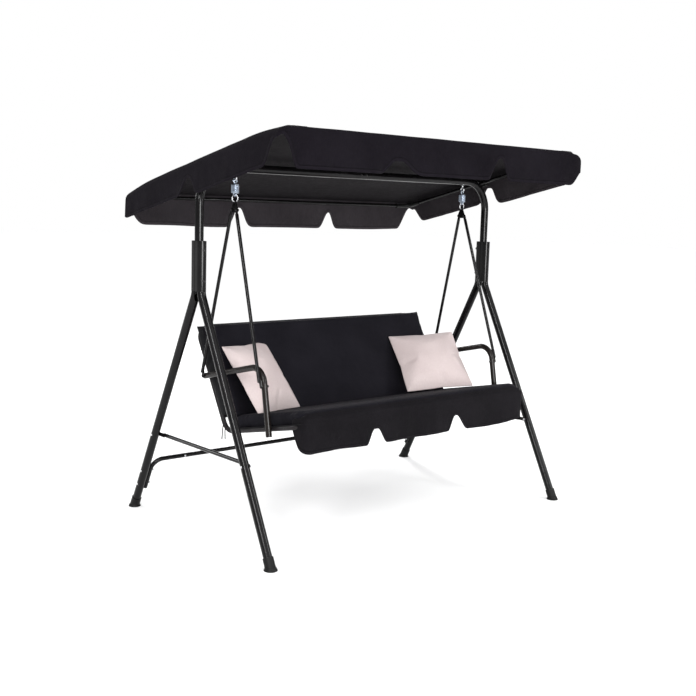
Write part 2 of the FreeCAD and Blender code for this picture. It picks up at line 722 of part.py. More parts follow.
def seat_corner(side, up):
    """Cutter that rounds one front corner of the seat cushion."""
    heart_s = SEAT_CORNER_R - 14
    x = side * (PAD_HALF_X - SEAT_CORNER_R)
    outer_x = side * (PAD_HALF_X + 10)
    outline = [at_x(seat_point(s, -20), x_edge)
               for s, x_edge in ((heart_s, x), (-40, x), (-40, outer_x), (heart_s, outer_x))]
    heart = at_x(seat_point(heart_s, -21), x)
    return prism(outline, up * 120).cut(cyl(heart, heart + up * 122, SEAT_CORNER_R))


def meet(n, m):
    """Point that is n above the seat's tubes and m in front of the back's tubes."""
    a = seat_point(0, n)
    along = (seat_point(1, n) - a)
    b = back_point(0, m)
    up = (back_point(1, m) - b)
    cross = along.y * up.z - along.z * up.y
    gap = b - a
    reach = (gap.y * up.z - gap.z * up.y) / cross
    return a + along * reach


def back_pad():
    behind = FRAME_R + GAP + SLING_THICK + GAP
    top = BACK_LEN + 3
    outline = [back_point(24, behind), back_point(24, behind + PAD_THICK),
               back_point(top, behind + PAD_THICK), back_point(top, behind)]
    return pad(outline, BACK_HALF_X, 10.0)


def scallops(width_axis, depth, centres, notch_top, bottom):
    """Cutters for the arched notches between the lobes of a hanging edge."""
    cutters = []
    for centre in centres:
        points = []
        for side in (-1, 1):
            half = ((NOTCH_MOUTH, bottom - 10), (NOTCH_NECK, notch_top - 18),
                    (NOTCH_NECK * 0.6, notch_top))
            arm = [centre + width_axis * side * reach + Z_AXIS * (z - centre.z)
                   for reach, z in half]
            points += arm if side < 0 else arm[::-1]
        cutters.append(prism([point - depth / 2 for point in points], depth))
    return cutters


def front_skirt():
    box = Part.makeBox(2 * PAD_HALF_X - 16, SKIRT_THICK, SKIRT_TOP - SKIRT_BOTTOM,
                       V(-PAD_HALF_X + 8, SKIRT_Y - SKIRT_THICK, SKIRT_BOTTOM))
    centres = [V(x, SKIRT_Y, SKIRT_BOTTOM) for x in SKIRT_NOTCHES]
    for cutter in scallops(X_AXIS, Y_AXIS * 20, centres, SKIRT_NOTCH_TOP, SKIRT_BOTTOM):
        box = box.cut(cutter)
    return box


def pillow(centre, yaw, lean, spin):
    """A square scatter cushion: thick in the middle, thin at its hem."""
    half = PILLOW_SIZE / 2
    layers = ((half * 0.5, PILLOW_THICK / 2), (half * 0.86, PILLOW_THICK * 0.36),
              (half, 4.0), (half, -4.0), (half * 0.86, -PILLOW_THICK * 0.36),
              (half * 0.5, -PILLOW_THICK / 2))
    rings = []
    for reach, height in layers:
        corners = [V(-reach, -height, -reach), V(reach, -height, -reach),
                   V(reach, -height, reach), V(-reach, -height, reach)]
        rings.append(Part.makePolygon(corners + corners[:1]))
    shape = Part.makeLoft(rings, True, True)
    shape.rotate(V(0, 0, 0), Y_AXIS, -spin)
    shape.rotate(V(0, 0, 0), X_AXIS, -lean)
    shape.rotate(V(0, 0, 0), Z_AXIS, yaw)
    shape.translate(centre)
    return shape


def resting(shape):
    """Flatten a loose piece where it lies on the seat and the backrest cushions."""
    level = FRAME_R + SLING_THICK + 2 * GAP + PAD_THICK + PILLOW_REST
    behind = [back_point(-200, level), back_point(700, level), back_point(700, level - 300),
              back_point(-200, level - 300)]
    below = [seat_point(-100, level), seat_point(800, level), seat_point(800, level - 300),
             seat_point(-100, level - 300)]
    for outline in (behind, below):
        shape = shape.cut(prism([at_x(point, -900) for point in outline], X_AXIS * 1800))
    return shape


# --- canopy -----------------------------------------------------------------
def canopy_point(s, h):
    """Point s behind the pivot and h above the plane of the canopy's rails."""
    tilt = math.radians(CANOPY_TILT)
    back = V(0, math.cos(tilt), -math.sin(tilt))
    up = V(0, math.sin(tilt), math.cos(tilt))
    return PIVOT + back * s + up * h


def canopy_rail(side):
    x = side * CANOPY_X
    low = at_x(canopy_point(-CANOPY_FRONT + ELBOW_REACH, 0), x)
    high = at_x(canopy_point(CANOPY_REAR - ELBOW_REACH, 0), x)
    bar = tube([low, high], CANOPY_RAIL_R, CANOPY_RAIL_WALL)
    return drill(bar, at_x(PIVOT, x), X_AXIS, PIVOT_R + RUNNING, 20)


def canopy_cross_rail(s):
    reach = CANOPY_X - ELBOW_REACH
    spot = canopy_point(s, 0)
    return tube([at_x(spot, -reach), at_x(spot, reach)], CANOPY_RAIL_R, CANOPY_RAIL_WALL)


def canopy_elbow(side, s, inward):
    """A moulded corner that takes the ends of two rails."""
    corner = at_x(canopy_point(s, 0), side * CANOPY_X)
    along = (canopy_point(s + inward, 0) - canopy_point(s, 0)).normalize()
    reach = ELBOW_REACH + 24
    across = X_AXIS * -side
    points = [corner + along * reach, corner, corner + across * reach]
    body = rod(points, ELBOW_R, ELBOW_BEND_R)
    for direction in (along, across):
        socket = cyl(corner + direction * (ELBOW_REACH - GAP), corner + direction * (reach + 1),
                     CANOPY_RAIL_R + RUNNING)
        body = body.cut(socket)
    return body


def cover_profile(inset, extra_drop):
    """Side outline of the cover, inset from its outside."""
    rise = COVER_RISE - inset + COVER_THICK
    edge = COVER_EDGE_RISE - inset + COVER_THICK
    front = -CANOPY_FRONT - COVER_FRONT_HANG + inset
    rear = CANOPY_REAR + COVER_REAR_HANG - inset
    top = [canopy_point(front, edge), canopy_point(-PIVOT.y, rise), canopy_point(rear, edge)]
    drop = Z_AXIS * (VALANCE_DROP + extra_drop)
    return [top[0] - drop] + top + [top[-1] - drop]


def cover_block(inset, extra_drop):
    half = COVER_HALF_X - inset
    outline = [at_x(point, -half) for point in cover_profile(inset, extra_drop)]
    block = prism(outline, X_AXIS * 2 * half)
    return block


def cover_corner(side, s):
    """Cutter for the tall arch where two hanging edges meet at a corner."""
    inward = -1 if s > 0 else 1
    corner = canopy_point(s, 0)
    top = corner.z + COVER_EDGE_RISE - CORNER_ARCH_TOP
    low = top - VALANCE_DROP
    reach = CORNER_ARCH_HALF[side]
    cutter = None
    for axis in (X_AXIS * -side, Y_AXIS * inward):
        base = V(side * COVER_HALF_X, corner.y - inward * COVER_FRONT_HANG, 0)
        across = V(axis.y, axis.x, 0).normalize() * 24
        outline = [base + Z_AXIS * low, base + axis * reach + Z_AXIS * low,
                   base + axis * reach * 0.45 + Z_AXIS * (top - 30), base + Z_AXIS * top]
        wedge = prism([point - across for point in outline], across * 2)
        cutter = wedge if cutter is None else cutter.fuse(wedge)
    return cutter


def canopy_cover():
    """Fabric top with hanging, scalloped edges, open below."""
    shell = cover_block(0, 0).cut(cover_block(COVER_THICK, 60))
    for s in (-CANOPY_FRONT, CANOPY_REAR):
        top = canopy_point(s, COVER_EDGE_RISE + COVER_THICK).z
        centres = [V(side * VALANCE_NOTCH_X, canopy_point(s, 0).y, top)
                   for side in SIDES.values()]
        for cutter in scallops(X_AXIS, Y_AXIS * 120, centres, top - VALANCE_NOTCH_DEPTH,
                               top - VALANCE_DROP - 20):
            shell = shell.cut(cutter)
        for side in SIDES.values():
            shell = shell.cut(cover_corner(side, s))
    centres = [V(side * COVER_HALF_X, 0, PIVOT.z) for side in SIDES.values()]
    for cutter in scallops(Y_AXIS, X_AXIS * 60, centres, PIVOT.z - 8, PIVOT.z - VALANCE_DROP):
        shell = shell.cut(cutter)
    return shell


# --- cushion ties -----------------------------------------------------------
TIE_R = 2.2
TIE_KNOT = V(0, 50.0, 440.0)
TIE_TAILS = {
    "a": (V(-1, 4, -3), V(-4, 8, -23), V(-3, 12, -51), V(-5, 12, -77)),
    "b": (V(0, -4, -3), V(-2, -7, -22), V(-4, -8, -48), V(-3, -9, -72)),
}


def tie_tail(side, steps):
    """A thin tape end that hangs from the knot, as a round bar of gentle bends."""
    base = V(side * (FRAME_X + FRAME_R + 7), TIE_KNOT.y, TIE_KNOT.z)
    points = [base + V(-side * step.x, step.y, step.z) for step in steps]
    path = rounded_path(points)
    bends = [edge.Curve.Radius for edge in path.Edges if hasattr(edge.Curve, "Radius")]
    print("tie bends, mm:", [round(bend) for bend in bends], "length", round(path.Length, 1))
    return rod(points, TIE_R)


def tie_knot(side):
    """The tape's loop round the frame tube and the knot beside it."""
    base = V(side * (FRAME_X + FRAME_R + 7), TIE_KNOT.y, TIE_KNOT.z)
    return Part.makeSphere(5.0, base + V(0, 0, 2))


# --- build ------------------------------------------------------------------
def build_stand():
    for side_name, side in SIDES.items():
        for end_name, end in ENDS.items():
            save(f"leg_{end_name}_{side_name}", leg(side, end))
            save(f"foot_{end_name}_{side_name}", foot(side, end))
        save(f"side_brace_{side_name}", side_brace(side))
        save(f"crossbar_end_{side_name}", crossbar_end(side))
        save(f"top_beam_{side_name}", beam_half(side))
        save(f"canopy_bracket_{side_name}", canopy_bracket(side))
    save("crossbar_middle", crossbar_middle())
    save("beam_sleeve", beam_sleeve())
    save("stand_bolts", *stand_bolts())
    save("brace_bolts", *brace_bolts())
    save("eye_bolts", *(eye_bolt(-1) + eye_bolt(1)))
    save("canopy_pivot_bolts", pivot_bolt(-1), pivot_bolt(1))
    save("canopy_spacers", pivot_spacer(-1), pivot_spacer(1))
    save("canopy_knobs", pivot_knob(-1), pivot_knob(1))


def build_canopy():
    for side_name, side in SIDES.items():
        save(f"canopy_rail_{side_name}", canopy_rail(side))
    save("canopy_rail_front", canopy_cross_rail(-CANOPY_FRONT))
    save("canopy_rail_rear", canopy_cross_rail(CANOPY_REAR))
    elbows = []
    for side in SIDES.values():
        elbows.append(canopy_elbow(side, -CANOPY_FRONT, 1))
        elbows.append(canopy_elbow(side, CANOPY_REAR, -1))
    save("canopy_elbows", *elbows)
    save("canopy_cover", canopy_cover())


def build_suspension():
    for side_name, side in SIDES.items():
        save(f"spring_{side_name}", *spring(side))
        save(f"hanger_plate_{side_name}", hanger_plate(side))
        for end_name, end in ENDS.items():
            save(f"hanger_rod_{end_name}_{side_name}", hanger_rod(side, end))
    save("hanger_rings", hanger_ring(-1), hanger_ring(1))


def build_bench():
    for side_name, side in SIDES.items():
        save(f"side_frame_{side_name}", side_frame(side))
        save(f"armrest_{side_name}", armrest(side))
        for tail_name, steps in TIE_TAILS.items():
            save(f"tie_tail_{side_name}_{tail_name}", tie_tail(side, steps))
    save("seat_front_hoop", hoop(seat_point(RAIL_JOINT - GAP, 0), seat_point(0, 0)))
    save("back_top_hoop", hoop(back_point(BACK_LEN - RAIL_JOINT + GAP, 0),
                               back_point(BACK_LEN, 0)))
    save("seat_rear_bar", cross_tube(seat_point(SEAT_LEN - 70, 0)))
    save("back_lower_bar", cross_tube(back_point(70, 0)))
    save("tie_knots", tie_knot(-1), tie_knot(1))
    save("bench_bolts", *(hanger_bolts() + frame_screws()))
    seat_up = seat_point(0, 1) - seat_point(0, 0)
    back_front = back_point(0, 1) - back_point(0, 0)
    save("seat_sling", sling(seat_point(0, 0), seat_point(SEAT_LEN - 70, 0), seat_up))
    save("back_sling", sling(back_point(70, 0), back_point(BACK_LEN, 0), back_front))
    save("seat_cushion", seat_pad())
    save("back_cushion", back_pad())
    save("front_skirt", front_skirt())
    save("pillow_left", resting(pillow(V(-465, 55, 610), 24.0, 36.0, -2.6)))
    save("pillow_right", resting(pillow(V(470, -10, 620), -25.8, 46.5, 5.0)))


def main():
    os.makedirs("parts", exist_ok=True)
    build_stand()
    build_canopy()
    build_suspension()
    build_bench()


main()
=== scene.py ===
import json
import math

import bmesh
import bpy
import numpy as np
from mathutils import Matrix, Vector, noise


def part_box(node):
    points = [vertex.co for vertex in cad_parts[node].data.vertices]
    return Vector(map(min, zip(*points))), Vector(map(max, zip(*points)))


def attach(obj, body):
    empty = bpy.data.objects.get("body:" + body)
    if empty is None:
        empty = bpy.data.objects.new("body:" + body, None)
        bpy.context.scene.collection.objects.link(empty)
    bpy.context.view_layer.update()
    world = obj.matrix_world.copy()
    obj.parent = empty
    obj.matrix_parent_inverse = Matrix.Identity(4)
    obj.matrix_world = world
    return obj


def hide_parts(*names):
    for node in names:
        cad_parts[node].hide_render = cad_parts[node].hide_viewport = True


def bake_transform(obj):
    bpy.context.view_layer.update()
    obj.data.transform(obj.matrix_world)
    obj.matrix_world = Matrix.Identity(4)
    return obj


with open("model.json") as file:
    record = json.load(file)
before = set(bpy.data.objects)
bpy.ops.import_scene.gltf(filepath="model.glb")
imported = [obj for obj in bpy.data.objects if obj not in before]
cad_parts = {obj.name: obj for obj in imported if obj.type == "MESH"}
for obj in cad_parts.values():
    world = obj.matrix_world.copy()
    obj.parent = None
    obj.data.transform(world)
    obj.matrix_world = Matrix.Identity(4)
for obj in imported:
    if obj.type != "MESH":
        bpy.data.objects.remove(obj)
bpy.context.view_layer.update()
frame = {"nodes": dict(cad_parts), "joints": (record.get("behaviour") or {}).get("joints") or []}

NODES = frame["nodes"]
SIDES = {"left": -1, "right": 1}


# --- places read from the frame ----------------------------------------------
def centre(node):
    low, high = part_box(node)
    return (low + high) / 2


def joint(name):
    return next(found for found in frame["joints"] if found["name"] == name)


RAIL_FRONT = centre("canopy_rail_front")
RAIL_REAR = centre("canopy_rail_rear")
PIVOT = Vector(joint("canopy_tilt")["pos_m"])
CANOPY_ALONG = (RAIL_REAR - RAIL_FRONT).normalized()
CANOPY_UP = Vector((1, 0, 0)).cross(CANOPY_ALONG)
COVER_LOW, COVER_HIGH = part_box("canopy_cover")
SKIRT_LOW, SKIRT_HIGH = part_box("front_skirt")
SEAT_LOW, SEAT_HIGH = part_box("seat_cushion")
SPRING_X = centre("spring_right").x
BENCH_TUBE_R = 0.010


def bench_line(hoop, bar, hoop_y):
    """From a hoop's crossing tube to the plain bar: two points and the sheet's direction."""
    low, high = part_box(hoop)
    spot = Vector((0, low.y + BENCH_TUBE_R if hoop_y < 0 else high.y - BENCH_TUBE_R,
                   high.z - BENCH_TUBE_R))
    return spot, centre(bar)


SEAT_FRONT, SEAT_REAR = bench_line("seat_front_hoop", "seat_rear_bar", -1)
BACK_TOP, BACK_FOOT = bench_line("back_top_hoop", "back_lower_bar", 1)
SEAT_UP = Vector((1, 0, 0)).cross(SEAT_REAR - SEAT_FRONT).normalized()
BACK_OUT = Vector((1, 0, 0)).cross(BACK_TOP - BACK_FOOT).normalized()


# --- camera --------------------------------------------------------------------
CAMERA_AT = Vector((-2.971, -3.409, 1.315))
CAMERA_YAW = 0.7103
CAMERA_PITCH = 0.1337
CAMERA_ROLL = 0.0288
CAMERA_LENS = 52.99


def add_camera():
    """Camera at the height, distance and turn from which the swing is seen."""
    forward = Vector((
        math.sin(CAMERA_YAW) * math.cos(CAMERA_PITCH),
        math.cos(CAMERA_YAW) * math.cos(CAMERA_PITCH),
        -math.sin(CAMERA_PITCH),
    ))
    level = Vector((math.cos(CAMERA_YAW), -math.sin(CAMERA_YAW), 0))
    up = level.cross(forward)
    right = level * math.cos(CAMERA_ROLL) + up * math.sin(CAMERA_ROLL)
    top = up * math.cos(CAMERA_ROLL) - level * math.sin(CAMERA_ROLL)
    camera = bpy.data.objects.new("camera", bpy.data.cameras.new("camera"))
    camera.data.sensor_width = 36
    camera.data.lens = CAMERA_LENS
    camera.data.clip_end = 200
    camera.matrix_world = Matrix.Translation(CAMERA_AT) @ Matrix(
        (right, top, -forward)).transposed().to_4x4()
    bpy.context.scene.collection.objects.link(camera)
    bpy.context.scene.camera = camera


# --- mesh helpers --------------------------------------------------------------
def new_piece(name, vertices, faces, smooth=True):
    """A mesh object in the scene, smooth shaded unless told otherwise."""
    mesh = bpy.data.meshes.new(name)
    mesh.from_pydata([tuple(v) for v in vertices], [], faces)
    mesh.validate()
    mesh.update()
    if smooth:
        mesh.polygons.foreach_set("use_smooth", [True] * len(mesh.polygons))
    piece = bpy.data.objects.new(name, mesh)
    bpy.context.scene.collection.objects.link(piece)
    return piece


def dress(piece, material, body):
    """Give a finished piece its material and body."""
    if len(piece.data.materials) > 1:
        piece.data.materials[0] = material
    else:
        piece.data.materials.clear()
        piece.data.materials.append(material)
    if body:
        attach(piece, body)
    return piece


def baked(piece):
    """Replace a piece's mesh by what its modifiers give."""
    graph = bpy.context.evaluated_depsgraph_get()
    mesh = bpy.data.meshes.new_from_object(piece.evaluated_get(graph))
    piece.modifiers.clear()
    piece.data = mesh
    mesh.polygons.foreach_set("use_smooth", [True] * len(mesh.polygons))
    return piece


def thicken(piece, thickness, inside=None):
    """Give a sheet its thickness; inside is the material of its inner face."""
    solid = piece.modifiers.new("thick", "SOLIDIFY")
    solid.thickness = thickness
    solid.offset = -1
    if inside:
        piece.data.materials.append(inside)
        piece.data.materials.append(inside)
        solid.material_offset = 1
    return baked(piece)


def smooth_line(stations, values):
    """Smooth curve through the (place, value) stations, read at the given places."""
    xs, ys = (np.array(column, float) for column in zip(*stations))
    slopes = np.gradient(ys, xs)
    values = np.clip(values, xs[0], xs[-1])
    i = np.clip(np.searchsorted(xs, values) - 1, 0, len(xs) - 2)
    span = xs[i + 1] - xs[i]
    t = (values - xs[i]) / span
    first = (2 * t ** 3 - 3 * t ** 2 + 1) * ys[i] + (t ** 3 - 2 * t ** 2 + t) * span * slopes[i]
    second = (3 * t ** 2 - 2 * t ** 3) * ys[i + 1] + (t ** 3 - t ** 2) * span * slopes[i + 1]
    return first + second


def sweep(name, points, radius, sides=12):
    """A round wire along the points, closed at both ends."""
    points = [Vector(point) for point in points]
    tangents = []
    for k in range(len(points)):
        before = points[max(k - 1, 0)]
        after = points[min(k + 1, len(points) - 1)]
        tangents.append((after - before).normalized())
    normal = tangents[0].orthogonal().normalized()
    vertices = []
    for point, tangent in zip(points, tangents):
        normal = (normal - tangent * normal.dot(tangent)).normalized()
        across = tangent.cross(normal)
        for k in range(sides):
            turn = 2 * math.pi * k / sides
            vertices.append(point + (normal * math.cos(turn) + across * math.sin(turn)) * radius)
    faces = []
    for row in range(len(points) - 1):
        for k in range(sides):
            here = row * sides + k
            beside = row * sides + (k + 1) % sides
            faces.append((here, beside, beside + sides, here + sides))
    faces.append(tuple(range(sides))[::-1])
    faces.append(tuple(range(len(vertices) - sides, len(vertices))))
    return new_piece(name, vertices, faces)


# --- materials -------------------------------------------------------------------
def shader(name, **values):
    """A material with a Principled shader whose sockets hold the given values."""
    material = bpy.data.materials.new(name)
    material.use_nodes = True
    tree = material.node_tree
    principled = tree.nodes["Principled BSDF"]
    for socket, value in values.items():
        principled.inputs[socket.replace("_", " ")].default_value = value
    return material, tree, principled


def noise_map(tree, scale, detail=3.0, stretch=(1, 1, 1)):
    """Noise that is fixed to the object; scale is in cells per metre."""
    place = tree.nodes.new("ShaderNodeTexCoord")
    mapping = tree.nodes.new("ShaderNodeMapping")
    mapping.inputs["Scale"].default_value = stretch
    texture = tree.nodes.new("ShaderNodeTexNoise")
    texture.inputs["Scale"].default_value = scale
    texture.inputs["Detail"].default_value = detail
    tree.links.new(place.outputs["Object"], mapping.inputs["Vector"])
    tree.links.new(mapping.outputs["Vector"], texture.inputs["Vector"])
    return texture.outputs["Fac"]


def remap(tree, value, low, high, start=0.3, stop=0.7):
    """Map a value's middle range to low and high."""
    node = tree.nodes.new("ShaderNodeMapRange")
    node.inputs["From Min"].default_value = start
    node.inputs["From Max"].default_value = stop
    node.inputs["To Min"].default_value = low
    node.inputs["To Max"].default_value = high
    tree.links.new(value, node.inputs["Value"])
    return node.outputs["Result"]


def mix_colour(tree, factor, first, second):
    """Blend two colours, each a tuple or a socket."""
    node = tree.nodes.new("ShaderNodeMix")
    node.data_type = "RGBA"
    tree.links.new(factor, node.inputs["Factor"])
    for socket, colour in ((node.inputs[6], first), (node.inputs[7], second)):
        if isinstance(colour, tuple):
            socket.default_value = (*colour, 1)
        else:
            tree.links.new(colour, socket)
    return node.outputs[2]


def calc(tree, operation, *values):
    """One math node; a value is a number or a socket."""
    node = tree.nodes.new("ShaderNodeMath")
    node.operation = operation
    for socket, value in zip(node.inputs, values):
        if isinstance(value, (int, float)):
            socket.default_value = value
        else:
            tree.links.new(value, socket)
    return node.outputs["Value"]


def add_bump(tree, principled, height, distance, strength=1.0):
    """Stack one more bump under the shader's normal."""
    bump = tree.nodes.new("ShaderNodeBump")
    bump.inputs["Distance"].default_value = distance
    bump.inputs["Strength"].default_value = strength
    tree.links.new(height, bump.inputs["Height"])
    last = principled.inputs["Normal"]
    if last.is_linked:
        tree.links.new(last.links[0].from_socket, bump.inputs["Normal"])
    tree.links.new(bump.outputs["Normal"], last)


def weave_height(tree, period):
    """Crossed threads along X, Y and Z, so that any face gets two of the three."""
    place = tree.nodes.new("ShaderNodeTexCoord")
    total = None
    for direction in ("X", "Y", "Z"):
        wave = tree.nodes.new("ShaderNodeTexWave")
        wave.bands_direction = direction
        wave.inputs["Scale"].default_value = 2 * math.pi / (20 * period)
        wave.inputs["Distortion"].default_value = 0.6
        tree.links.new(place.outputs["Object"], wave.inputs["Vector"])
        height = wave.outputs["Fac"]
        total = height if total is None else calc(tree, "ADD", total, height)
    return total


def paint(name, dark, light, rough, coat):
    """Powder coat: even colour with faint clouds and orange peel."""
    material, tree, principled = shader(name, Coat_Weight=coat, Coat_Roughness=0.06,
                                        Specular_IOR_Level=0.11)
    clouds = noise_map(tree, 14, 4)
    colour = mix_colour(tree, remap(tree, clouds, 0, 1), dark, light)
    tree.links.new(colour, principled.inputs["Base Color"])
    smears = noise_map(tree, 55, 5, (1, 1, 0.35))
    tree.links.new(remap(tree, smears, rough * 0.8, rough * 1.35), principled.inputs["Roughness"])
    add_bump(tree, principled, noise_map(tree, 420, 2), 0.00012, 0.5)
    return material


def moulded(name, colour, rough, grain):
    """Moulded rubber or plastic with a fine grain and slightly worn tones."""
    material, tree, principled = shader(name, Specular_IOR_Level=0.14)
    pale = tuple(channel * 1.5 + 0.002 for channel in colour)
    clouds = noise_map(tree, 30, 5)
    tinted = mix_colour(tree, remap(tree, clouds, 0, 1), colour, pale)
    tree.links.new(tinted, principled.inputs["Base Color"])
    tree.links.new(remap(tree, noise_map(tree, 90, 4), rough - 0.08, rough + 0.08),
                   principled.inputs["Roughness"])
    add_bump(tree, principled, noise_map(tree, 1600, 2), grain, 0.6)
    return material


def plated(name, bright, dull, rough):
    """Zinc plating: blotchy grey metal."""
    material, tree, principled = shader(name, Metallic=1.0)
    blotches = noise_map(tree, 260, 5)
    colour = mix_colour(tree, remap(tree, blotches, 0, 1), dull, bright)
    tree.links.new(colour, principled.inputs["Base Color"])
    tree.links.new(remap(tree, noise_map(tree, 500, 4), rough - 0.08, rough + 0.12),
                   principled.inputs["Roughness"])
    add_bump(tree, principled, noise_map(tree, 1400, 3), 0.00006, 0.5)
    return material


def cloth(name, dark, light, period, sheen, seam=None, rough=0.86, gloss=0.14):
    """Woven cloth: threads, faint slubs, broad tone changes and a hem if it has one; the hem's seam
    line is darkened with painted shade and its band lightened with painted light.
    """
    material, tree, principled = shader(name, Sheen_Weight=sheen, Sheen_Roughness=0.45,
                                        Specular_IOR_Level=gloss)
    principled.inputs["Sheen Tint"].default_value = (0.86, 0.80, 0.86, 1)
    broad = noise_map(tree, 5, 4)
    slubs = noise_map(tree, 240, 3, (1, 1, 0.25))
    tone = calc(tree, "ADD", calc(tree, "MULTIPLY", broad, 0.65),
                calc(tree, "MULTIPLY", slubs, 0.35))
    colour = mix_colour(tree, remap(tree, tone, 0, 1, 0.36, 0.64), dark, light)
    if seam:
        edge = tree.nodes.new("ShaderNodeAttribute")
        edge.attribute_name = "edge_distance"
        distance = edge.outputs["Fac"]
        off_line = calc(tree, "ABSOLUTE", calc(tree, "SUBTRACT", distance, seam))
        line = remap(tree, off_line, 1.0, 0.0, 0.0008, 0.0030)
        # Seam line darkened: painted shade in the stitched groove.
        shade = tuple(channel * 0.45 for channel in dark)
        colour = mix_colour(tree, line, colour, shade)
        # Hem band lightened: painted light on the raised doubled cloth.
        inside = remap(tree, distance, 1.0, 0.0, seam - 0.001, seam + 0.001)
        hem_painted_light = tuple(channel * 1.25 for channel in light)
        colour = mix_colour(tree, calc(tree, "MULTIPLY", inside, 0.45), colour, hem_painted_light)
        add_bump(tree, principled, inside, 0.0012, 0.8)
        add_bump(tree, principled, calc(tree, "SUBTRACT", 1.0, line), 0.0012, 0.7)
    tree.links.new(colour, principled.inputs["Base Color"])
    tree.links.new(remap(tree, noise_map(tree, 40, 4), rough - 0.06, rough + 0.06),
                   principled.inputs["Roughness"])
    add_bump(tree, principled, noise_map(tree, 60, 5), 0.0006, 0.5)
    add_bump(tree, principled, weave_height(tree, period), 0.00022, 0.55)
    return material


MATERIALS = {
    "tube_black": paint("tube_black", (0.0026, 0.0025, 0.0027), (0.005, 0.0047, 0.005), 0.13, 0.12),
    "frame_grey": paint("frame_grey", (0.010, 0.009, 0.010), (0.016, 0.014, 0.015), 0.36, 0.05),
    "armrest": paint("armrest", (0.007, 0.0055, 0.005), (0.011, 0.009, 0.008), 0.22, 0.16),
    "foot_rubber": moulded("foot_rubber", (0.003, 0.003, 0.003), 0.50, 0.0002),
    "moulding": moulded("moulding", (0.006, 0.006, 0.006), 0.42, 0.0001),
    "bolt_zinc": plated("bolt_zinc", (0.72, 0.73, 0.74), (0.42, 0.42, 0.44), 0.30),
    "bolt_black": paint("bolt_black", (0.010, 0.009, 0.010), (0.02, 0.02, 0.02), 0.30, 0.1),
    "spring_steel": plated("spring_steel", (0.62, 0.70, 0.80), (0.34, 0.40, 0.50), 0.26),
    "canopy": cloth("canopy", (0.0027, 0.0020, 0.0034), (0.0050, 0.0040, 0.0060), 0.0016, 0.010,
                    0.013, gloss=0.05),
    # Inner faces of the canopy: a lighter copy of the same cloth, painted light where the front
    # lamps reach under the roof.
    "canopy_inside_painted_light": cloth("canopy_inside_painted_light", (0.0190, 0.0160, 0.0185), (0.0300, 0.0262, 0.0295),
                           0.0016, 0.02, 0.013, gloss=0.10),
    # Inner faces that look downwards: a darker copy of the same cloth, painted shade under the
    # roof.
    "canopy_under_painted_shade": cloth("canopy_under_painted_shade", (0.0050, 0.0042, 0.0050), (0.0082, 0.0072, 0.0084),
                          0.0016, 0.01, gloss=0.06),
    "cushion": cloth("cushion", (0.0042, 0.0039, 0.0060), (0.0076, 0.0070, 0.0100), 0.0014, 0.02,
                     gloss=0.08),
    "skirt": cloth("skirt", (0.0030, 0.0026, 0.0034), (0.0060, 0.0052, 0.0066), 0.0014, 0.012,
                   0.011, gloss=0.07),
    "sling": cloth("sling", (0.006, 0.006, 0.007), (0.011, 0.011, 0.012), 0.0022, 0.03, 0.016),
    "pillow": cloth("pillow", (0.470, 0.395, 0.390), (0.545, 0.470, 0.462), 0.0011, 0.08,
                    rough=0.9),
    "tape": cloth("tape", (0.010, 0.009, 0.011), (0.02, 0.018, 0.02), 0.0009, 0.04),
}


def paint_cad_nodes():
    """Give every carried CAD node its material."""
    black = ("leg_", "side_brace", "crossbar", "top_beam", "beam_sleeve", "canopy_bracket",
             "canopy_rail", "hanger_rod", "hanger_plate")
    grey = ("side_frame", "seat_front_hoop", "back_top_hoop", "seat_rear_bar", "back_lower_bar")
    by_start = {
        "tube_black": black,
        "frame_grey": grey,
        "armrest": ("armrest",),
        "foot_rubber": ("foot_",),
        "moulding": ("canopy_elbows", "canopy_knobs", "canopy_spacers"),
        "bolt_zinc": ("eye_bolts", "canopy_pivot_bolts", "hanger_rings", "brace_bolts"),
        "bolt_black": ("stand_bolts", "bench_bolts"),
    }
    for material_name, starts in by_start.items():
        for node_name, node in NODES.items():
            if node_name.startswith(starts):
                node.data.materials.clear()
                node.data.materials.append(MATERIALS[material_name])


# --- hanging edges -----------------------------------------------------------------
def notch_lift(place, low, notches):
    """Height of a scalloped lower edge: low on the lobes, raised to each notch's top.

    A notch is (first foot, top from, top to, last foot, height of its top, bias): the
    edge leaves a lobe in a round corner, climbs and reaches the top in a tighter bend.
    """
    height = np.full(len(place), low, float) if np.isscalar(low) else np.array(low, float)
    base = height.copy()
    for first_foot, top_from, top_to, last_foot, top, bias in notches:
        rise = np.where(place < top_from, (place - first_foot) / (top_from - first_foot),
                        (last_foot - place) / (last_foot - top_to))
        t = np.clip(rise, 0, 1) ** bias
        eased = t * t * (3 - 2 * t)
        height = np.maximum(height, base + (top - base) * eased)
    return height


def mark_edge_distance(piece, columns, rows, edge_at, reach=14):
    """Store each vertex's distance from the free edge, for the hem."""
    co = np.array([v.co for v in piece.data.vertices], float)
    distance = np.full(len(co), 1.0)
    edge = co[edge_at]
    for k in range(columns):
        near = [(k + step) % columns for step in range(-reach, reach + 1)]
        for row in range(rows):
            index = edge_at[k] - row
            gap = np.linalg.norm(edge[near] - co[index], axis=1).min()
            distance[index] = min(distance[index], gap)
    attribute = piece.data.attributes.new("edge_distance", "FLOAT", "POINT")
    attribute.data.foreach_set("value", distance.astype(np.float32))


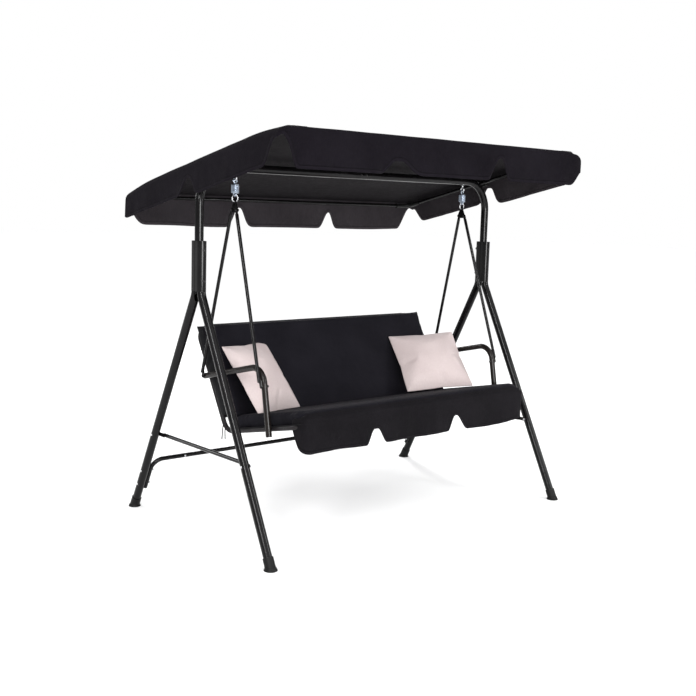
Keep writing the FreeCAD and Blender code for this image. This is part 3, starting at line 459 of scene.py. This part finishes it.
# --- canopy --------------------------------------------------------------------------
COVER_FLAT_X = 0.792
COVER_HALF_X = COVER_HIGH.x
COVER_STEP = 0.0085
COVER_THICK = 0.002
SIDE_DROP = 0.036
EDGE_ROLL = 0.014
ROLL_STEPS = 6
CORNER_STEPS = 9
VALANCE_ROWS = 20
CORNER_DIP = 0.010
CORNER_DIP_X = 0.70
CORNER_DIP_REACH_X = 0.092
CORNER_DIP_S = 0.40
CORNER_DIP_REACH_S = 0.16
COVER_CROWN = ((-0.581, 0.0058), (-0.47, 0.0200), (-0.27, 0.0275), (-0.02, 0.0325),
               (0.15, 0.0345), (0.31, 0.0370), (0.45, 0.0315), (0.5375, 0.0235))
FRONT_LOW = 1.4525
FRONT_NOTCHES = (
    (-0.372, -0.298, -0.272, -0.145, 1.503, 1.5),
    (0.212, 0.290, 0.302, 0.352, 1.545, 1.5),
)
REAR_LOW = ((-0.845, 1.227), (-0.60, 1.2265), (-0.42, 1.2215), (-0.10, 1.2240),
            (0.10, 1.2235), (0.30, 1.2220), (0.52, 1.2205), (0.845, 1.228))
REAR_NOTCHES = (
    (-0.338, -0.264, -0.250, -0.160, 1.311, 1.8),
    (0.196, 0.273, 0.280, 0.344, 1.300, 1.8),
)
LEFT_CORNER_FOOT = 0.762
RIGHT_CORNER_FOOT = 0.748
CORNER_FLAT = 0.014
FRONT_CORNER_TOP = 1.568
REAR_CORNER_TOP = 1.318
REAR_RIGHT_TOP = 1.336
SIDE_LINE_AT_PIVOT = 1.478
SIDE_LINE_SLOPE = 0.2296
FRONT_SIDE_HANG = 0.126
REAR_SIDE_HANG = 0.104


def canopy_point(x, s, h):
    """Point at x, s along the canopy to the rear and h over the rails' plane."""
    return PIVOT + CANOPY_ALONG * s + CANOPY_UP * h + Vector((x, 0, 0))


def cover_height(x, s):
    """Height over the rails' plane: crowned over the beam, slack between, one low corner."""
    crown = float(smooth_line(COVER_CROWN, np.array([s]))[0])
    slack = math.cos(math.pi * x / (2 * COVER_HALF_X)) ** 2
    front_dip = 0.006 * slack * math.sin(math.pi * min(max((s + 0.56) / 0.52, 0), 1))
    rear_dip = 0.005 * slack * math.sin(math.pi * min(max(s / 0.5, 0), 1))
    wrinkle = 0.0016 * noise.noise(Vector((x * 5, s * 9, 3.1)))
    by_side = min(max((x - CORNER_DIP_X) / CORNER_DIP_REACH_X, 0), 1)
    by_front = min(max((-s - CORNER_DIP_S) / CORNER_DIP_REACH_S, 0), 1)
    corner_dip = CORNER_DIP * by_side ** 2 * by_front
    return crown - front_dip - rear_dip - corner_dip + wrinkle


def cover_ring():
    """Columns round the cover's edge: (place in x, place in s, outward x, outward s)."""
    front = -((RAIL_FRONT - PIVOT).length + 0.020) + EDGE_ROLL
    rear = (RAIL_REAR - PIVOT).length + 0.016 - EDGE_ROLL
    xs = np.linspace(-COVER_FLAT_X, COVER_FLAT_X, round(2 * COVER_FLAT_X / COVER_STEP) + 1)
    ss = np.linspace(front, rear, round((rear - front) / COVER_STEP) + 1)
    last_x, last_s = len(xs) - 1, len(ss) - 1
    columns = [(i, 0, 0.0, -1.0) for i in range(last_x + 1)]
    columns += corner_columns(last_x, 0, -90)
    columns += [(last_x, j, 1.0, 0.0) for j in range(last_s + 1)]
    columns += corner_columns(last_x, last_s, 0)
    columns += [(i, last_s, 0.0, 1.0) for i in range(last_x, -1, -1)]
    columns += corner_columns(0, last_s, 90)
    columns += [(0, j, -1.0, 0.0) for j in range(last_s, -1, -1)]
    columns += corner_columns(0, 0, 180)
    return xs, ss, columns


def corner_columns(i, j, start):
    """Columns fanning a quarter turn round one corner of the flat top."""
    found = []
    for step in range(1, CORNER_STEPS):
        turn = math.radians(start + 90 * step / CORNER_STEPS)
        found.append((i, j, math.cos(turn), math.sin(turn)))
    return found


def cover_low_edge(points, normals):
    """Height of the free edge under each column."""
    x = np.array([point.x for point in points])
    y = np.array([point.y for point in points])
    hang = np.where(y < PIVOT.y, FRONT_SIDE_HANG, REAR_SIDE_HANG)
    side_low = SIDE_LINE_AT_PIVOT - SIDE_LINE_SLOPE * y - hang
    y_front, y_rear = y.min(), y.max()
    half = COVER_HALF_X
    front_notches = FRONT_NOTCHES + (
        (-half - 0.05, -half, -half + CORNER_FLAT, -LEFT_CORNER_FOOT, FRONT_CORNER_TOP, 0.8),
        (RIGHT_CORNER_FOOT, half - 0.004, half, half + 0.05, FRONT_LOW + 0.058, 1.3),
    )
    rear_notches = REAR_NOTCHES + (
        (-half - 0.05, -half, -half + CORNER_FLAT, -0.715, REAR_CORNER_TOP, 2.1),
        (0.745, half - CORNER_FLAT, half, half + 0.05, REAR_RIGHT_TOP, 1.0),
    )
    side_notches = (
        (y_front - 0.05, y_front, y_front + CORNER_FLAT, -0.448, FRONT_CORNER_TOP, 1.0),
    )
    left_notch = (-0.045, 0.030, 0.040, 0.105, 1.420, 1.0)
    right_notch = (-0.105, -0.010, 0.010, 0.105, 1.441, 2.0)
    left_end = (y_rear - 0.045, y_rear, y_rear, y_rear + 0.05, REAR_CORNER_TOP - 0.055, 1.2)
    right_end = (0.430, y_rear - CORNER_FLAT, y_rear, y_rear + 0.05, REAR_RIGHT_TOP, 1.3)
    front = notch_lift(x, FRONT_LOW, front_notches)
    rear = notch_lift(x, smooth_line(REAR_LOW, x), rear_notches)
    side = np.where(x < 0, notch_lift(y, side_low, side_notches + (left_notch, left_end)),
                    notch_lift(y, side_low, side_notches + (right_notch, right_end)))
    outward_y = np.array([normal[1] for normal in normals])
    on_side = np.abs(outward_y) < 1e-6
    low = np.where(on_side, side, np.where(outward_y < 0, front, rear))
    return np.minimum(low, np.array([point.z for point in points]) - 0.006)


def ripple(along, down, seed):
    """How far hanging cloth stands off its flat shape; grows towards its free edge."""
    broad = noise.noise(Vector((along * 7.5, down * 3, seed)))
    fine = noise.noise(Vector((along * 21, down * 6, seed + 9.7)))
    return (0.012 * broad + 0.0055 * fine) * min(down / 0.10, 1.0) ** 1.2


def fold_back(x, down):
    """The curled lobe corners beside the two notches of the front edge."""
    curl = 0.0
    for at, width, depth in ((-0.335, 0.045, 0.022), (0.268, 0.030, 0.014)):
        curl += depth * math.exp(-((x - at) / width) ** 2)
    return -curl * min(down / 0.12, 1.0) ** 2


def build_cover():
    xs, ss, columns = cover_ring()
    vertices, faces = [], []
    grid = {}
    for i, x in enumerate(xs):
        for j, s in enumerate(ss):
            grid[i, j] = len(vertices)
            vertices.append(canopy_point(x, s, cover_height(x, s)))
    for i in range(len(xs) - 1):
        for j in range(len(ss) - 1):
            faces.append((grid[i, j], grid[i + 1, j], grid[i + 1, j + 1], grid[i, j + 1]))
    rims, normals = [], []
    stacks = []
    for i, j, out_x, out_s in columns:
        stack = [grid[i, j]]
        width_x = COVER_HALF_X - COVER_FLAT_X
        fall = math.hypot(SIDE_DROP * out_x, EDGE_ROLL * out_s)
        height = cover_height(xs[i], ss[j])
        for step in range(1, ROLL_STEPS + 1):
            turn = math.pi / 2 * step / ROLL_STEPS
            spot = canopy_point(xs[i] + out_x * width_x * math.sin(turn),
                                ss[j] + out_s * EDGE_ROLL * math.sin(turn), height)
            spot.z -= fall * (1 - math.cos(turn))
            stack.append(len(vertices))
            vertices.append(spot)
        rims.append(spot)
        normals.append((out_x, out_s))
        stacks.append(stack)
    low = cover_low_edge(rims, normals)
    travelled = 0.0
    for k, (rim, normal, stack) in enumerate(zip(rims, normals, stacks)):
        if k:
            travelled += (rim - rims[k - 1]).length
        outward = Vector((normal[0], normal[1], 0))
        for row in range(1, VALANCE_ROWS + 1):
            z = rim.z + (low[k] - rim.z) * row / VALANCE_ROWS
            down = rim.z - z
            push = ripple(travelled, down, 2.0)
            if normal[1] < -0.5:
                push += fold_back(rim.x, down)
            push = max(push, -0.004) if abs(normal[0]) > 0.5 else push
            stack.append(len(vertices))
            vertices.append(Vector((rim.x, rim.y, z)) + outward * (push + 0.03 * down))
    for k, stack in enumerate(stacks):
        beside = stacks[(k + 1) % len(stacks)]
        for row in range(len(stack) - 1):
            quad = [stack[row], stack[row + 1], beside[row + 1], beside[row]]
            corners = list(dict.fromkeys(quad))
            if len(corners) > 2:
                faces.append(tuple(corners))
    cover = new_piece("canopy_cloth", vertices, faces)
    edge_at = np.array([stack[-1] for stack in stacks])
    mark_edge_distance(cover, len(stacks), VALANCE_ROWS, edge_at)
    outward_normals(cover)
    # The inner faces take the lighter copy of the cloth: painted light.
    thicken(cover, COVER_THICK, MATERIALS["canopy_inside_painted_light"])
    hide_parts("canopy_cover")
    dress(cover, MATERIALS["canopy"], "canopy")
    cover.data.materials.append(MATERIALS["canopy_under_painted_shade"])
    # Inner faces turned downwards take the darker copy: painted shade under the roof.
    for face in cover.data.polygons:
        if face.material_index == 1 and face.normal.z < -0.6:
            face.material_index = 2
    return cover


def outward_normals(piece):
    """Turn all faces the same way, the top one up."""
    mesh = bmesh.new()
    mesh.from_mesh(piece.data)
    bmesh.ops.recalc_face_normals(mesh, faces=mesh.faces)
    top = max(mesh.faces, key=lambda face: face.calc_center_median().z)
    if top.normal.z < 0:
        bmesh.ops.reverse_faces(mesh, faces=mesh.faces)
    mesh.to_mesh(piece.data)
    mesh.free()


# --- skirt ---------------------------------------------------------------------------
SKIRT_STEP = 0.0065
SKIRT_ROWS = 22
SKIRT_THICK = 0.002
SKIRT_TURN = 0.034
SKIRT_SIDE = 0.046
SKIRT_RIGHT_TURN = 0.040
SKIRT_NOTCHES = (
    (-0.331, -0.287, -0.268, -0.216, 0.4585, 1.1),
    (0.140, 0.179, 0.187, 0.258, 0.4620, 1.1),
)


def skirt_path():
    """Plan of the skirt's top fold: left side, front, right side, with outward directions."""
    half = SEAT_HIGH.x + 0.001
    front = SKIRT_LOW.y
    path = []
    count = round(SKIRT_SIDE / SKIRT_STEP)
    for k in range(count):
        path.append((-half, front + SKIRT_TURN + SKIRT_SIDE * (1 - k / count), -1.0, 0.0))
    path += skirt_corner(-half + SKIRT_TURN, front + SKIRT_TURN, SKIRT_TURN, 180)
    first = -half + SKIRT_TURN
    last = half - SKIRT_RIGHT_TURN
    for x in np.linspace(first, last, round((last - first) / SKIRT_STEP) + 1):
        path.append((x, front, 0.0, -1.0))
    path += skirt_corner(last, front + SKIRT_RIGHT_TURN, SKIRT_RIGHT_TURN, 270)
    count = round(0.030 / SKIRT_STEP)
    for k in range(count + 1):
        path.append((half, front + SKIRT_RIGHT_TURN + 0.030 * k / count, 1.0, 0.0))
    return path


def skirt_corner(x, y, radius, start):
    """A quarter turn of the skirt's plan round (x, y)."""
    found = []
    steps = max(8, round(radius * math.pi / 2 / SKIRT_STEP))
    for k in range(steps):
        turn = math.radians(start + 90 * k / steps)
        found.append((x + radius * math.cos(turn), y + radius * math.sin(turn),
                      math.cos(turn), math.sin(turn)))
    return found


def skirt_edges(path):
    """Heights of the skirt's top fold and free edge at each place of its plan."""
    x = np.array([spot[0] for spot in path])
    y = np.array([spot[1] for spot in path])
    away = y - SKIRT_LOW.y
    low = notch_lift(x, SKIRT_LOW.z, SKIRT_NOTCHES)
    left = x < 0
    side = np.clip(away / (SKIRT_SIDE + SKIRT_TURN), 0, 1)
    low = low + np.where(left, 0.092 * side ** 1.7, 0)
    low = low + np.where(left, 0, 0.013 * np.clip((x - 0.44) / 0.20, 0, 1) ** 1.5)
    low = low + np.where(left, 0, 0.35 * np.clip(away - 0.02, 0, 1))
    low = low + 0.004 * np.exp(-((x + 0.50) / 0.10) ** 2) - 0.004 * np.exp(
        -((x - 0.38) / 0.10) ** 2)
    top = SEAT_HIGH.z - 0.001 - 0.235 * np.clip(away, 0, 1)
    top = top - np.where(left, 0, 0.012 * np.clip((x - 0.50) / 0.14, 0, 1) ** 1.6)
    top = np.maximum(top, low + 0.030)
    return low, top


SKIRT_ROLL = 6
SKIRT_FOLD = 0.014
SKIRT_TUCK = 0.022
CREASE_PITCH = 0.015
CREASE_DEPTH = 0.0026
CREASE_REACH = 0.062


def build_skirt():
    path = skirt_path()
    low, top = skirt_edges(path)
    vertices, faces = [], []
    rows = SKIRT_ROWS + SKIRT_ROLL
    for k, (px, py, out_x, out_y) in enumerate(path):
        outward = Vector((out_x, out_y, 0))
        base = Vector((px, py, top[k]))
        for step in range(SKIRT_ROLL):
            turn = math.pi / 2 * step / SKIRT_ROLL
            spot = base - outward * (SKIRT_TUCK * math.cos(turn))
            spot.z -= SKIRT_FOLD * (1 - math.cos(turn))
            vertices.append(spot)
        start = base.z - SKIRT_FOLD
        for row in range(SKIRT_ROWS):
            z = start + (low[k] - start) * row / (SKIRT_ROWS - 1)
            down = base.z - z
            shift = 2.2 * noise.noise(Vector((px * 3, 0, 5)))
            wave = math.sin(2 * math.pi * down / CREASE_PITCH + shift)
            crease = CREASE_DEPTH * wave * abs(wave)
            crease *= max(0.0, 1 - down / CREASE_REACH) * (0.7 + 0.3 * math.sin(px * 9))
            push = ripple(px + py, down, 17.0) * 0.8 + crease + 0.03 * down
            vertices.append(Vector((px, py, z)) + outward * push)
    for k in range(len(path) - 1):
        for row in range(rows - 1):
            here = k * rows + row
            faces.append((here, here + rows, here + rows + 1, here + 1))
    skirt = new_piece("seat_skirt", vertices, faces)
    edge_at = np.array([k * rows + rows - 1 for k in range(len(path))])
    mark_edge_distance(skirt, len(path), SKIRT_ROWS, edge_at)
    outward_normals(skirt)
    thicken(skirt, SKIRT_THICK)
    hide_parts("front_skirt")
    dress(skirt, MATERIALS["skirt"], "bench")
    return skirt


# --- padded pieces ---------------------------------------------------------------------
PAD_VOXEL = 0.006
PAD_CAP = 0.010
PAD_SHRINK = 0.005
PAD_SMOOTHING = 7
PAD_DROOP = 0.009


def inflate(piece, pressure, frames, stiffness, bending, mass=0.3):
    """Run cloth with inner pressure and no gravity, and keep the resulting mesh."""
    cloth_sim = piece.modifiers.new("cloth", "CLOTH")
    settings = cloth_sim.settings
    settings.quality = 4
    settings.mass = mass
    settings.use_pressure = True
    settings.uniform_pressure_force = pressure
    settings.tension_stiffness = stiffness
    settings.compression_stiffness = stiffness
    settings.shear_stiffness = stiffness * 0.4
    settings.bending_stiffness = bending
    settings.effector_weights.gravity = 0
    cloth_sim.point_cache.frame_start = 1
    cloth_sim.point_cache.frame_end = frames
    scene = bpy.context.scene
    for step in range(1, frames + 1):
        scene.frame_set(step)
    baked(piece)
    scene.frame_set(1)


def coordinates(piece):
    flat = np.empty(len(piece.data.vertices) * 3)
    piece.data.vertices.foreach_get("co", flat)
    return flat.reshape(-1, 3)


def set_coordinates(piece, co):
    piece.data.vertices.foreach_set("co", co.ravel())
    piece.data.update()


def droop_sides(piece, up):
    """Let a pad's lower half sag over the tubes along its two sides."""
    co = coordinates(piece)
    up = np.array(up)
    level = co @ up
    depth = np.clip((np.median(level) - level) / 0.024, 0, 1)
    beside = np.clip((np.abs(co[:, 0]) - (co[:, 0].max() - 0.05)) / 0.03, 0, 1)
    set_coordinates(piece, co - (depth * beside * PAD_DROOP)[:, None] * up)


def puffed_pad(name, node, up):
    """A copy of a plain pad solid, puffed up by a pressure simulation within a cap."""
    piece = bpy.data.objects.new(name, NODES[node].data.copy())
    bpy.context.scene.collection.objects.link(piece)
    remesh = piece.modifiers.new("voxel", "REMESH")
    remesh.mode = "VOXEL"
    remesh.voxel_size = PAD_VOXEL
    baked(piece)
    co = coordinates(piece)
    normals = np.array([v.normal for v in piece.data.vertices])
    co = co - normals * PAD_SHRINK
    set_coordinates(piece, co)
    inflate(piece, pressure=4.0, frames=16, stiffness=12.0, bending=1.5)
    moved = coordinates(piece)
    step = moved - co
    length = np.linalg.norm(step, axis=1)
    scale = np.minimum(1.0, PAD_CAP / np.maximum(length, 1e-9))
    set_coordinates(piece, co + step * scale[:, None])
    even = piece.modifiers.new("even", "SMOOTH")
    even.factor = 0.5
    even.iterations = PAD_SMOOTHING
    baked(piece)
    droop_sides(piece, up)
    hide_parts(node)
    dress(piece, MATERIALS["cushion"], "bench")
    return piece


# --- pillows -----------------------------------------------------------------------------
PILLOW_CUT = 0.350
PILLOW_SIZE = 0.330
PILLOW_THICK = 0.106
PILLOW_CELLS = 34
PILLOW_STRAIGHT = 0.84
PILLOW_REST = 0.0012
PILLOW_SINK = Vector((0, 0, 0.0045))
PILLOWS = {
    "pillow_left": {"yaw": 24.0, "lean": 36.0, "spin": -2.6, "seed": 1.0},
    "pillow_right": {"yaw": -25.8, "lean": 46.5, "spin": 5.0, "seed": 6.0},
}


def pillow_bag(name, seed):
    """A flat square bag: two layers of cloth joined along all four edges."""
    count = PILLOW_CELLS
    vertices, faces = [], []
    index = {}
    for layer in (0, 1):
        for i in range(count + 1):
            for j in range(count + 1):
                border = i in (0, count) or j in (0, count)
                if layer and border:
                    index[layer, i, j] = index[0, i, j]
                    continue
                u, v = i / count - 0.5, j / count - 0.5
                lift = 0.010 * (1 - (2 * u) ** 4) * (1 - (2 * v) ** 4)
                lift += 0.0012 * noise.noise(Vector((u * 8, v * 8, seed + layer * 3)))
                index[layer, i, j] = len(vertices)
                vertices.append(Vector((u * PILLOW_CUT, (1 if layer else -1) * lift,
                                        v * PILLOW_CUT)))
    for layer in (0, 1):
        for i in range(count):
            for j in range(count):
                quad = (index[layer, i, j], index[layer, i + 1, j],
                        index[layer, i + 1, j + 1], index[layer, i, j + 1])
                faces.append(quad if not layer else quad[::-1])
    return new_piece(name, vertices, faces)


def pillow_centre(node, turn):
    """Middle of the plain pillow, from its corners and face that touch nothing."""
    co = coordinates(NODES[node]) @ np.array(turn.to_3x3())
    low, high = co.min(0), co.max(0)
    middle = ((low[0] + high[0]) / 2, low[1] + PILLOW_THICK / 2, high[2] - PILLOW_SIZE / 2)
    return turn @ Vector(middle) - PILLOW_SINK


def rest_on(co, node, up):
    """Flatten what would lie inside a cushion, whose face points along up."""
    up = np.array(up)
    face = (coordinates(NODES[node]) @ up).max() + PILLOW_REST
    return co + np.maximum(face - co @ up, 0)[:, None] * up


def build_pillow(node, yaw, lean, spin, seed):
    piece = pillow_bag(node + "_soft", seed)
    flat = coordinates(piece)
    inflate(piece, pressure=7.0, frames=34, stiffness=9.0, bending=0.25, mass=0.12)
    co = coordinates(piece)
    shrunk = (co.max(0) - co.min(0)) / PILLOW_CUT
    for axis in (0, 2):
        co[:, axis] += PILLOW_STRAIGHT * (flat[:, axis] * shrunk[axis] - co[:, axis])
    set_coordinates(piece, co)
    fine = piece.modifiers.new("fine", "SUBSURF")
    fine.levels = 2
    fine.render_levels = 2
    baked(piece)
    co = coordinates(piece)
    co -= (co.max(0) + co.min(0)) / 2
    size = co.max(0) - co.min(0)
    co *= np.array([PILLOW_SIZE, PILLOW_THICK, PILLOW_SIZE]) / size
    turn = (Matrix.Rotation(math.radians(yaw), 4, "Z")
            @ Matrix.Rotation(math.radians(-lean), 4, "X")
            @ Matrix.Rotation(math.radians(-spin), 4, "Y"))
    co = co @ np.array(turn.to_3x3()).T + np.array(pillow_centre(node, turn))
    co = rest_on(co, "seat_cushion", SEAT_UP)
    co = rest_on(co, "back_cushion", BACK_OUT)
    set_coordinates(piece, co)
    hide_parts(node)
    dress(piece, MATERIALS["pillow"], node)
    return piece


# --- slings ------------------------------------------------------------------------------
SLING_HALF_X = 0.643
SLEEVE_HALF_X = 0.572
SLEEVE_R = 0.0113
SLEEVE_STEPS = 12
SLING_ROWS = 40
SLING_COLUMNS = 92
SLING_SAG = 0.005
SLING_TIGHT_EDGE = 0.06
SLING_THICK = 0.0015


def build_sling(name, node, first, last, up):
    """Cloth over the bench's tubes, with a sleeve round each of two bars."""
    along = (last - first).normalized()
    profile = []
    for step in range(SLEEVE_STEPS + 1):
        turn = math.pi * (1.5 - step / SLEEVE_STEPS)
        profile.append(first + (along * math.cos(turn) + up * math.sin(turn)) * SLEEVE_R)
    length = (last - first).length
    for step in range(1, SLING_ROWS):
        profile.append(first + along * (length * step / SLING_ROWS) + up * SLEEVE_R)
    for step in range(SLEEVE_STEPS + 1):
        turn = math.pi * (0.5 - step / SLEEVE_STEPS)
        profile.append(last + (along * math.cos(turn) + up * math.sin(turn)) * SLEEVE_R)
    vertices, faces = [], []
    half = SLING_HALF_X
    across = np.linspace(-half, half, SLING_COLUMNS)
    rows = len(profile)
    for x in across:
        side = min(max((abs(x) - (half - SLING_TIGHT_EDGE)) / SLING_TIGHT_EDGE, 0), 1)
        for k, point in enumerate(profile):
            inner = min(max((k - SLEEVE_STEPS) / SLING_ROWS, 0), 1)
            sag = SLING_SAG * math.sin(math.pi * inner) * (1 - side) * (1 + 0.5 * noise.noise(
                Vector((x * 4, inner * 3, 2))))
            vertices.append(Vector((x, point.y, point.z)) - up * sag)
    for i in range(len(across) - 1):
        wide = max(abs(across[i]), abs(across[i + 1])) > SLEEVE_HALF_X
        for k in range(rows - 1):
            if wide and not SLEEVE_STEPS <= k < rows - SLEEVE_STEPS - 1:
                continue
            here = i * rows + k
            faces.append((here, here + rows, here + rows + 1, here + 1))
    sling = new_piece(name, vertices, faces)
    loose = bmesh.new()
    loose.from_mesh(sling.data)
    bmesh.ops.delete(loose, geom=[v for v in loose.verts if not v.link_faces], context="VERTS")
    loose.to_mesh(sling.data)
    loose.free()
    thicken(sling, SLING_THICK)
    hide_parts(node)
    dress(sling, MATERIALS["sling"], "bench")
    return sling


def build_slings():
    build_sling("seat_sling_cloth", "seat_sling", SEAT_FRONT, SEAT_REAR, SEAT_UP)
    build_sling("back_sling_cloth", "back_sling", BACK_FOOT, BACK_TOP, BACK_OUT)


# --- springs -----------------------------------------------------------------------------
SPRING_TURNS = 8
SPRING_COIL_R = 0.014
SPRING_WIRE_R = 0.0022
SPRING_TOP = 1.405
SPRING_PITCH = 0.0046
SPRING_HOOK_R = 0.0075
HOOK_STEPS = 24
COIL_STEPS = 28


def spring_path(side):
    """One wire: top loop, close coil, bottom loop."""
    x = side * SPRING_X
    low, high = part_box("spring_right")
    top_z = high.z - SPRING_WIRE_R - SPRING_HOOK_R
    low_z = low.z + SPRING_WIRE_R + SPRING_HOOK_R
    points = []
    for step in range(HOOK_STEPS + 1):
        turn = math.radians(-60 + 300 * step / HOOK_STEPS)
        points.append((x + SPRING_HOOK_R * math.cos(turn), 0,
                       top_z + SPRING_HOOK_R * math.sin(turn)))
    coil_low = SPRING_TOP - SPRING_TURNS * SPRING_PITCH
    steps = SPRING_TURNS * COIL_STEPS
    for step in range(1, steps):
        turn = math.pi + 2 * math.pi * step / COIL_STEPS
        ease = min(2 * step / COIL_STEPS, 1, 2 * (steps - step) / COIL_STEPS)
        reach = SPRING_COIL_R * (0.35 + 0.65 * ease)
        z = SPRING_TOP - (SPRING_TOP - coil_low) * step / steps
        points.append((x + reach * math.cos(turn), reach * math.sin(turn), z))
    for step in range(HOOK_STEPS + 1):
        turn = math.radians(120 + 300 * step / HOOK_STEPS)
        points.append((x, SPRING_HOOK_R * math.cos(turn),
                       low_z + SPRING_HOOK_R * math.sin(turn)))
    return points


def build_springs():
    for name, side in SIDES.items():
        wire = sweep(f"spring_wire_{name}", spring_path(side), SPRING_WIRE_R)
        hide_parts(f"spring_{name}")
        dress(wire, MATERIALS["spring_steel"], None)
        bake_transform(wire)


# --- ties ----------------------------------------------------------------------------------
TIE_R = 0.0022
TIE_X = 0.653
TIE_TAILS = {
    "a": ((-0.001, 0.054, 0.437), (-0.004, 0.058, 0.417), (-0.003, 0.062, 0.389),
          (-0.005, 0.062, 0.363)),
    "b": ((0.000, 0.046, 0.437), (-0.002, 0.043, 0.418), (-0.004, 0.042, 0.392),
          (-0.003, 0.041, 0.368)),
}


def build_ties():
    for side_name, side in SIDES.items():
        for tail_name, route in TIE_TAILS.items():
            curve = bpy.data.curves.new(f"tie_{side_name}_{tail_name}", "CURVE")
            curve.dimensions = "3D"
            curve.bevel_depth = TIE_R
            curve.bevel_resolution = 4
            curve.use_fill_caps = True
            spline = curve.splines.new("NURBS")
            spline.points.add(len(route) - 1)
            for point, (x, y, z) in zip(spline.points, route):
                point.co = (side * (TIE_X - x), y, z, 1)
            spline.order_u = 3
            spline.use_endpoint_u = True
            tail = bpy.data.objects.new(f"tie_{side_name}_{tail_name}", curve)
            bpy.context.scene.collection.objects.link(tail)
            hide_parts(f"tie_tail_{side_name}_{tail_name}")
            dress(tail, MATERIALS["tape"], "bench")
            x, y, z = route[0]
        build_knot(side_name, side)


def build_knot(side_name, side):
    """An overhand knot of the tape, beside the frame tube."""
    base = Vector((side * TIE_X, 0.050, 0.442))
    points = []
    for step in range(61):
        t = 2 * math.pi * step / 60
        points.append(base + Vector((
            0.0011 * (math.sin(t) + 2 * math.sin(2 * t)),
            0.0011 * (math.cos(t) - 2 * math.cos(2 * t)),
            -0.0014 * math.sin(3 * t),
        )))
    knot = sweep(f"tie_knot_{side_name}", points, 0.0019, 10)
    dress(knot, MATERIALS["tape"], "bench")
    if side > 0:
        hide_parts("tie_knots")


# --- stage ---------------------------------------------------------------------------------
FLOOR_HALF = 40
WORLD_LIGHT = 0.32


def build_stage():
    """Pale floor, and a world that looks white behind the swing but lights it softly."""
    far = FLOOR_HALF
    floor = new_piece("floor", [(-far, -far, 0), (far, -far, 0), (far, far, 0), (-far, far, 0)],
                      [(0, 1, 2, 3)], smooth=False)
    material, tree, principled = shader("floor", Roughness=0.9, Specular_IOR_Level=0.1)
    principled.inputs["Base Color"].default_value = (0.93, 0.93, 0.93, 1)
    floor.data.materials.append(material)
    world = bpy.data.worlds.new("studio")
    bpy.context.scene.world = world
    world.use_nodes = True
    tree = world.node_tree
    seen = tree.nodes["Background"]
    seen.inputs["Color"].default_value = (1.0, 1.0, 1.0, 1)
    seen.inputs["Strength"].default_value = 1.0
    soft = tree.nodes.new("ShaderNodeBackground")
    soft.inputs["Color"].default_value = (0.98, 0.985, 1.0, 1)
    soft.inputs["Strength"].default_value = WORLD_LIGHT
    rays = tree.nodes.new("ShaderNodeLightPath")
    choose = tree.nodes.new("ShaderNodeMixShader")
    tree.links.new(rays.outputs["Is Camera Ray"], choose.inputs["Fac"])
    tree.links.new(soft.outputs["Background"], choose.inputs[1])
    tree.links.new(seen.outputs["Background"], choose.inputs[2])
    tree.links.new(choose.outputs["Shader"], tree.nodes["World Output"].inputs["Surface"])


def add_light(name, place, target, size, watts):
    """A rectangular lamp at a place, turned to its target."""
    light = bpy.data.lights.new(name, "AREA")
    light.shape = "RECTANGLE"
    light.size, light.size_y = size
    light.energy = watts
    lamp = bpy.data.objects.new(name, light)
    lamp.location = place
    direction = Vector(target) - Vector(place)
    lamp.rotation_mode = "QUATERNION"
    lamp.rotation_quaternion = direction.to_track_quat("-Z", "Y")
    bpy.context.scene.collection.objects.link(lamp)


def add_sky_light(energy):
    """Very soft light from above that makes the floor pale."""
    light = bpy.data.lights.new("sky", "SUN")
    light.energy = energy
    light.angle = math.radians(130)
    lamp = bpy.data.objects.new("sky", light)
    lamp.rotation_euler = (math.radians(18), math.radians(-14), 0)
    bpy.context.scene.collection.objects.link(lamp)


def build_lights():
    add_sky_light(2.7)
    add_light("key", (-4.6, -3.4, 3.2), (0, 0, 0.9), (0.5, 2.6), 190)
    add_light("front", (-1.6, -5.4, 1.1), (0, 0, 1.1), (2.4, 1.0), 150)
    add_light("fill", (3.4, -5.0, 2.6), (0, 0, 0.8), (0.7, 2.6), 140)
    add_light("rim", (3.0, 4.5, 3.2), (0, 0, 0.9), (0.8, 2.5), 110)
    add_light("back", (-3.5, 4.8, 3.0), (0, 0, 0.9), (0.8, 2.5), 90)


# --- build -----------------------------------------------------------------------------------
add_camera()
build_ties()
paint_cad_nodes()
build_springs()
build_cover()
build_skirt()
puffed_pad("seat_pad", "seat_cushion", SEAT_UP)
puffed_pad("back_pad", "back_cushion", BACK_OUT)
for node, facts in PILLOWS.items():
    build_pillow(node, **facts)
build_slings()
build_stage()
build_lights()
bpy.context.scene.view_settings.view_transform = "Standard"
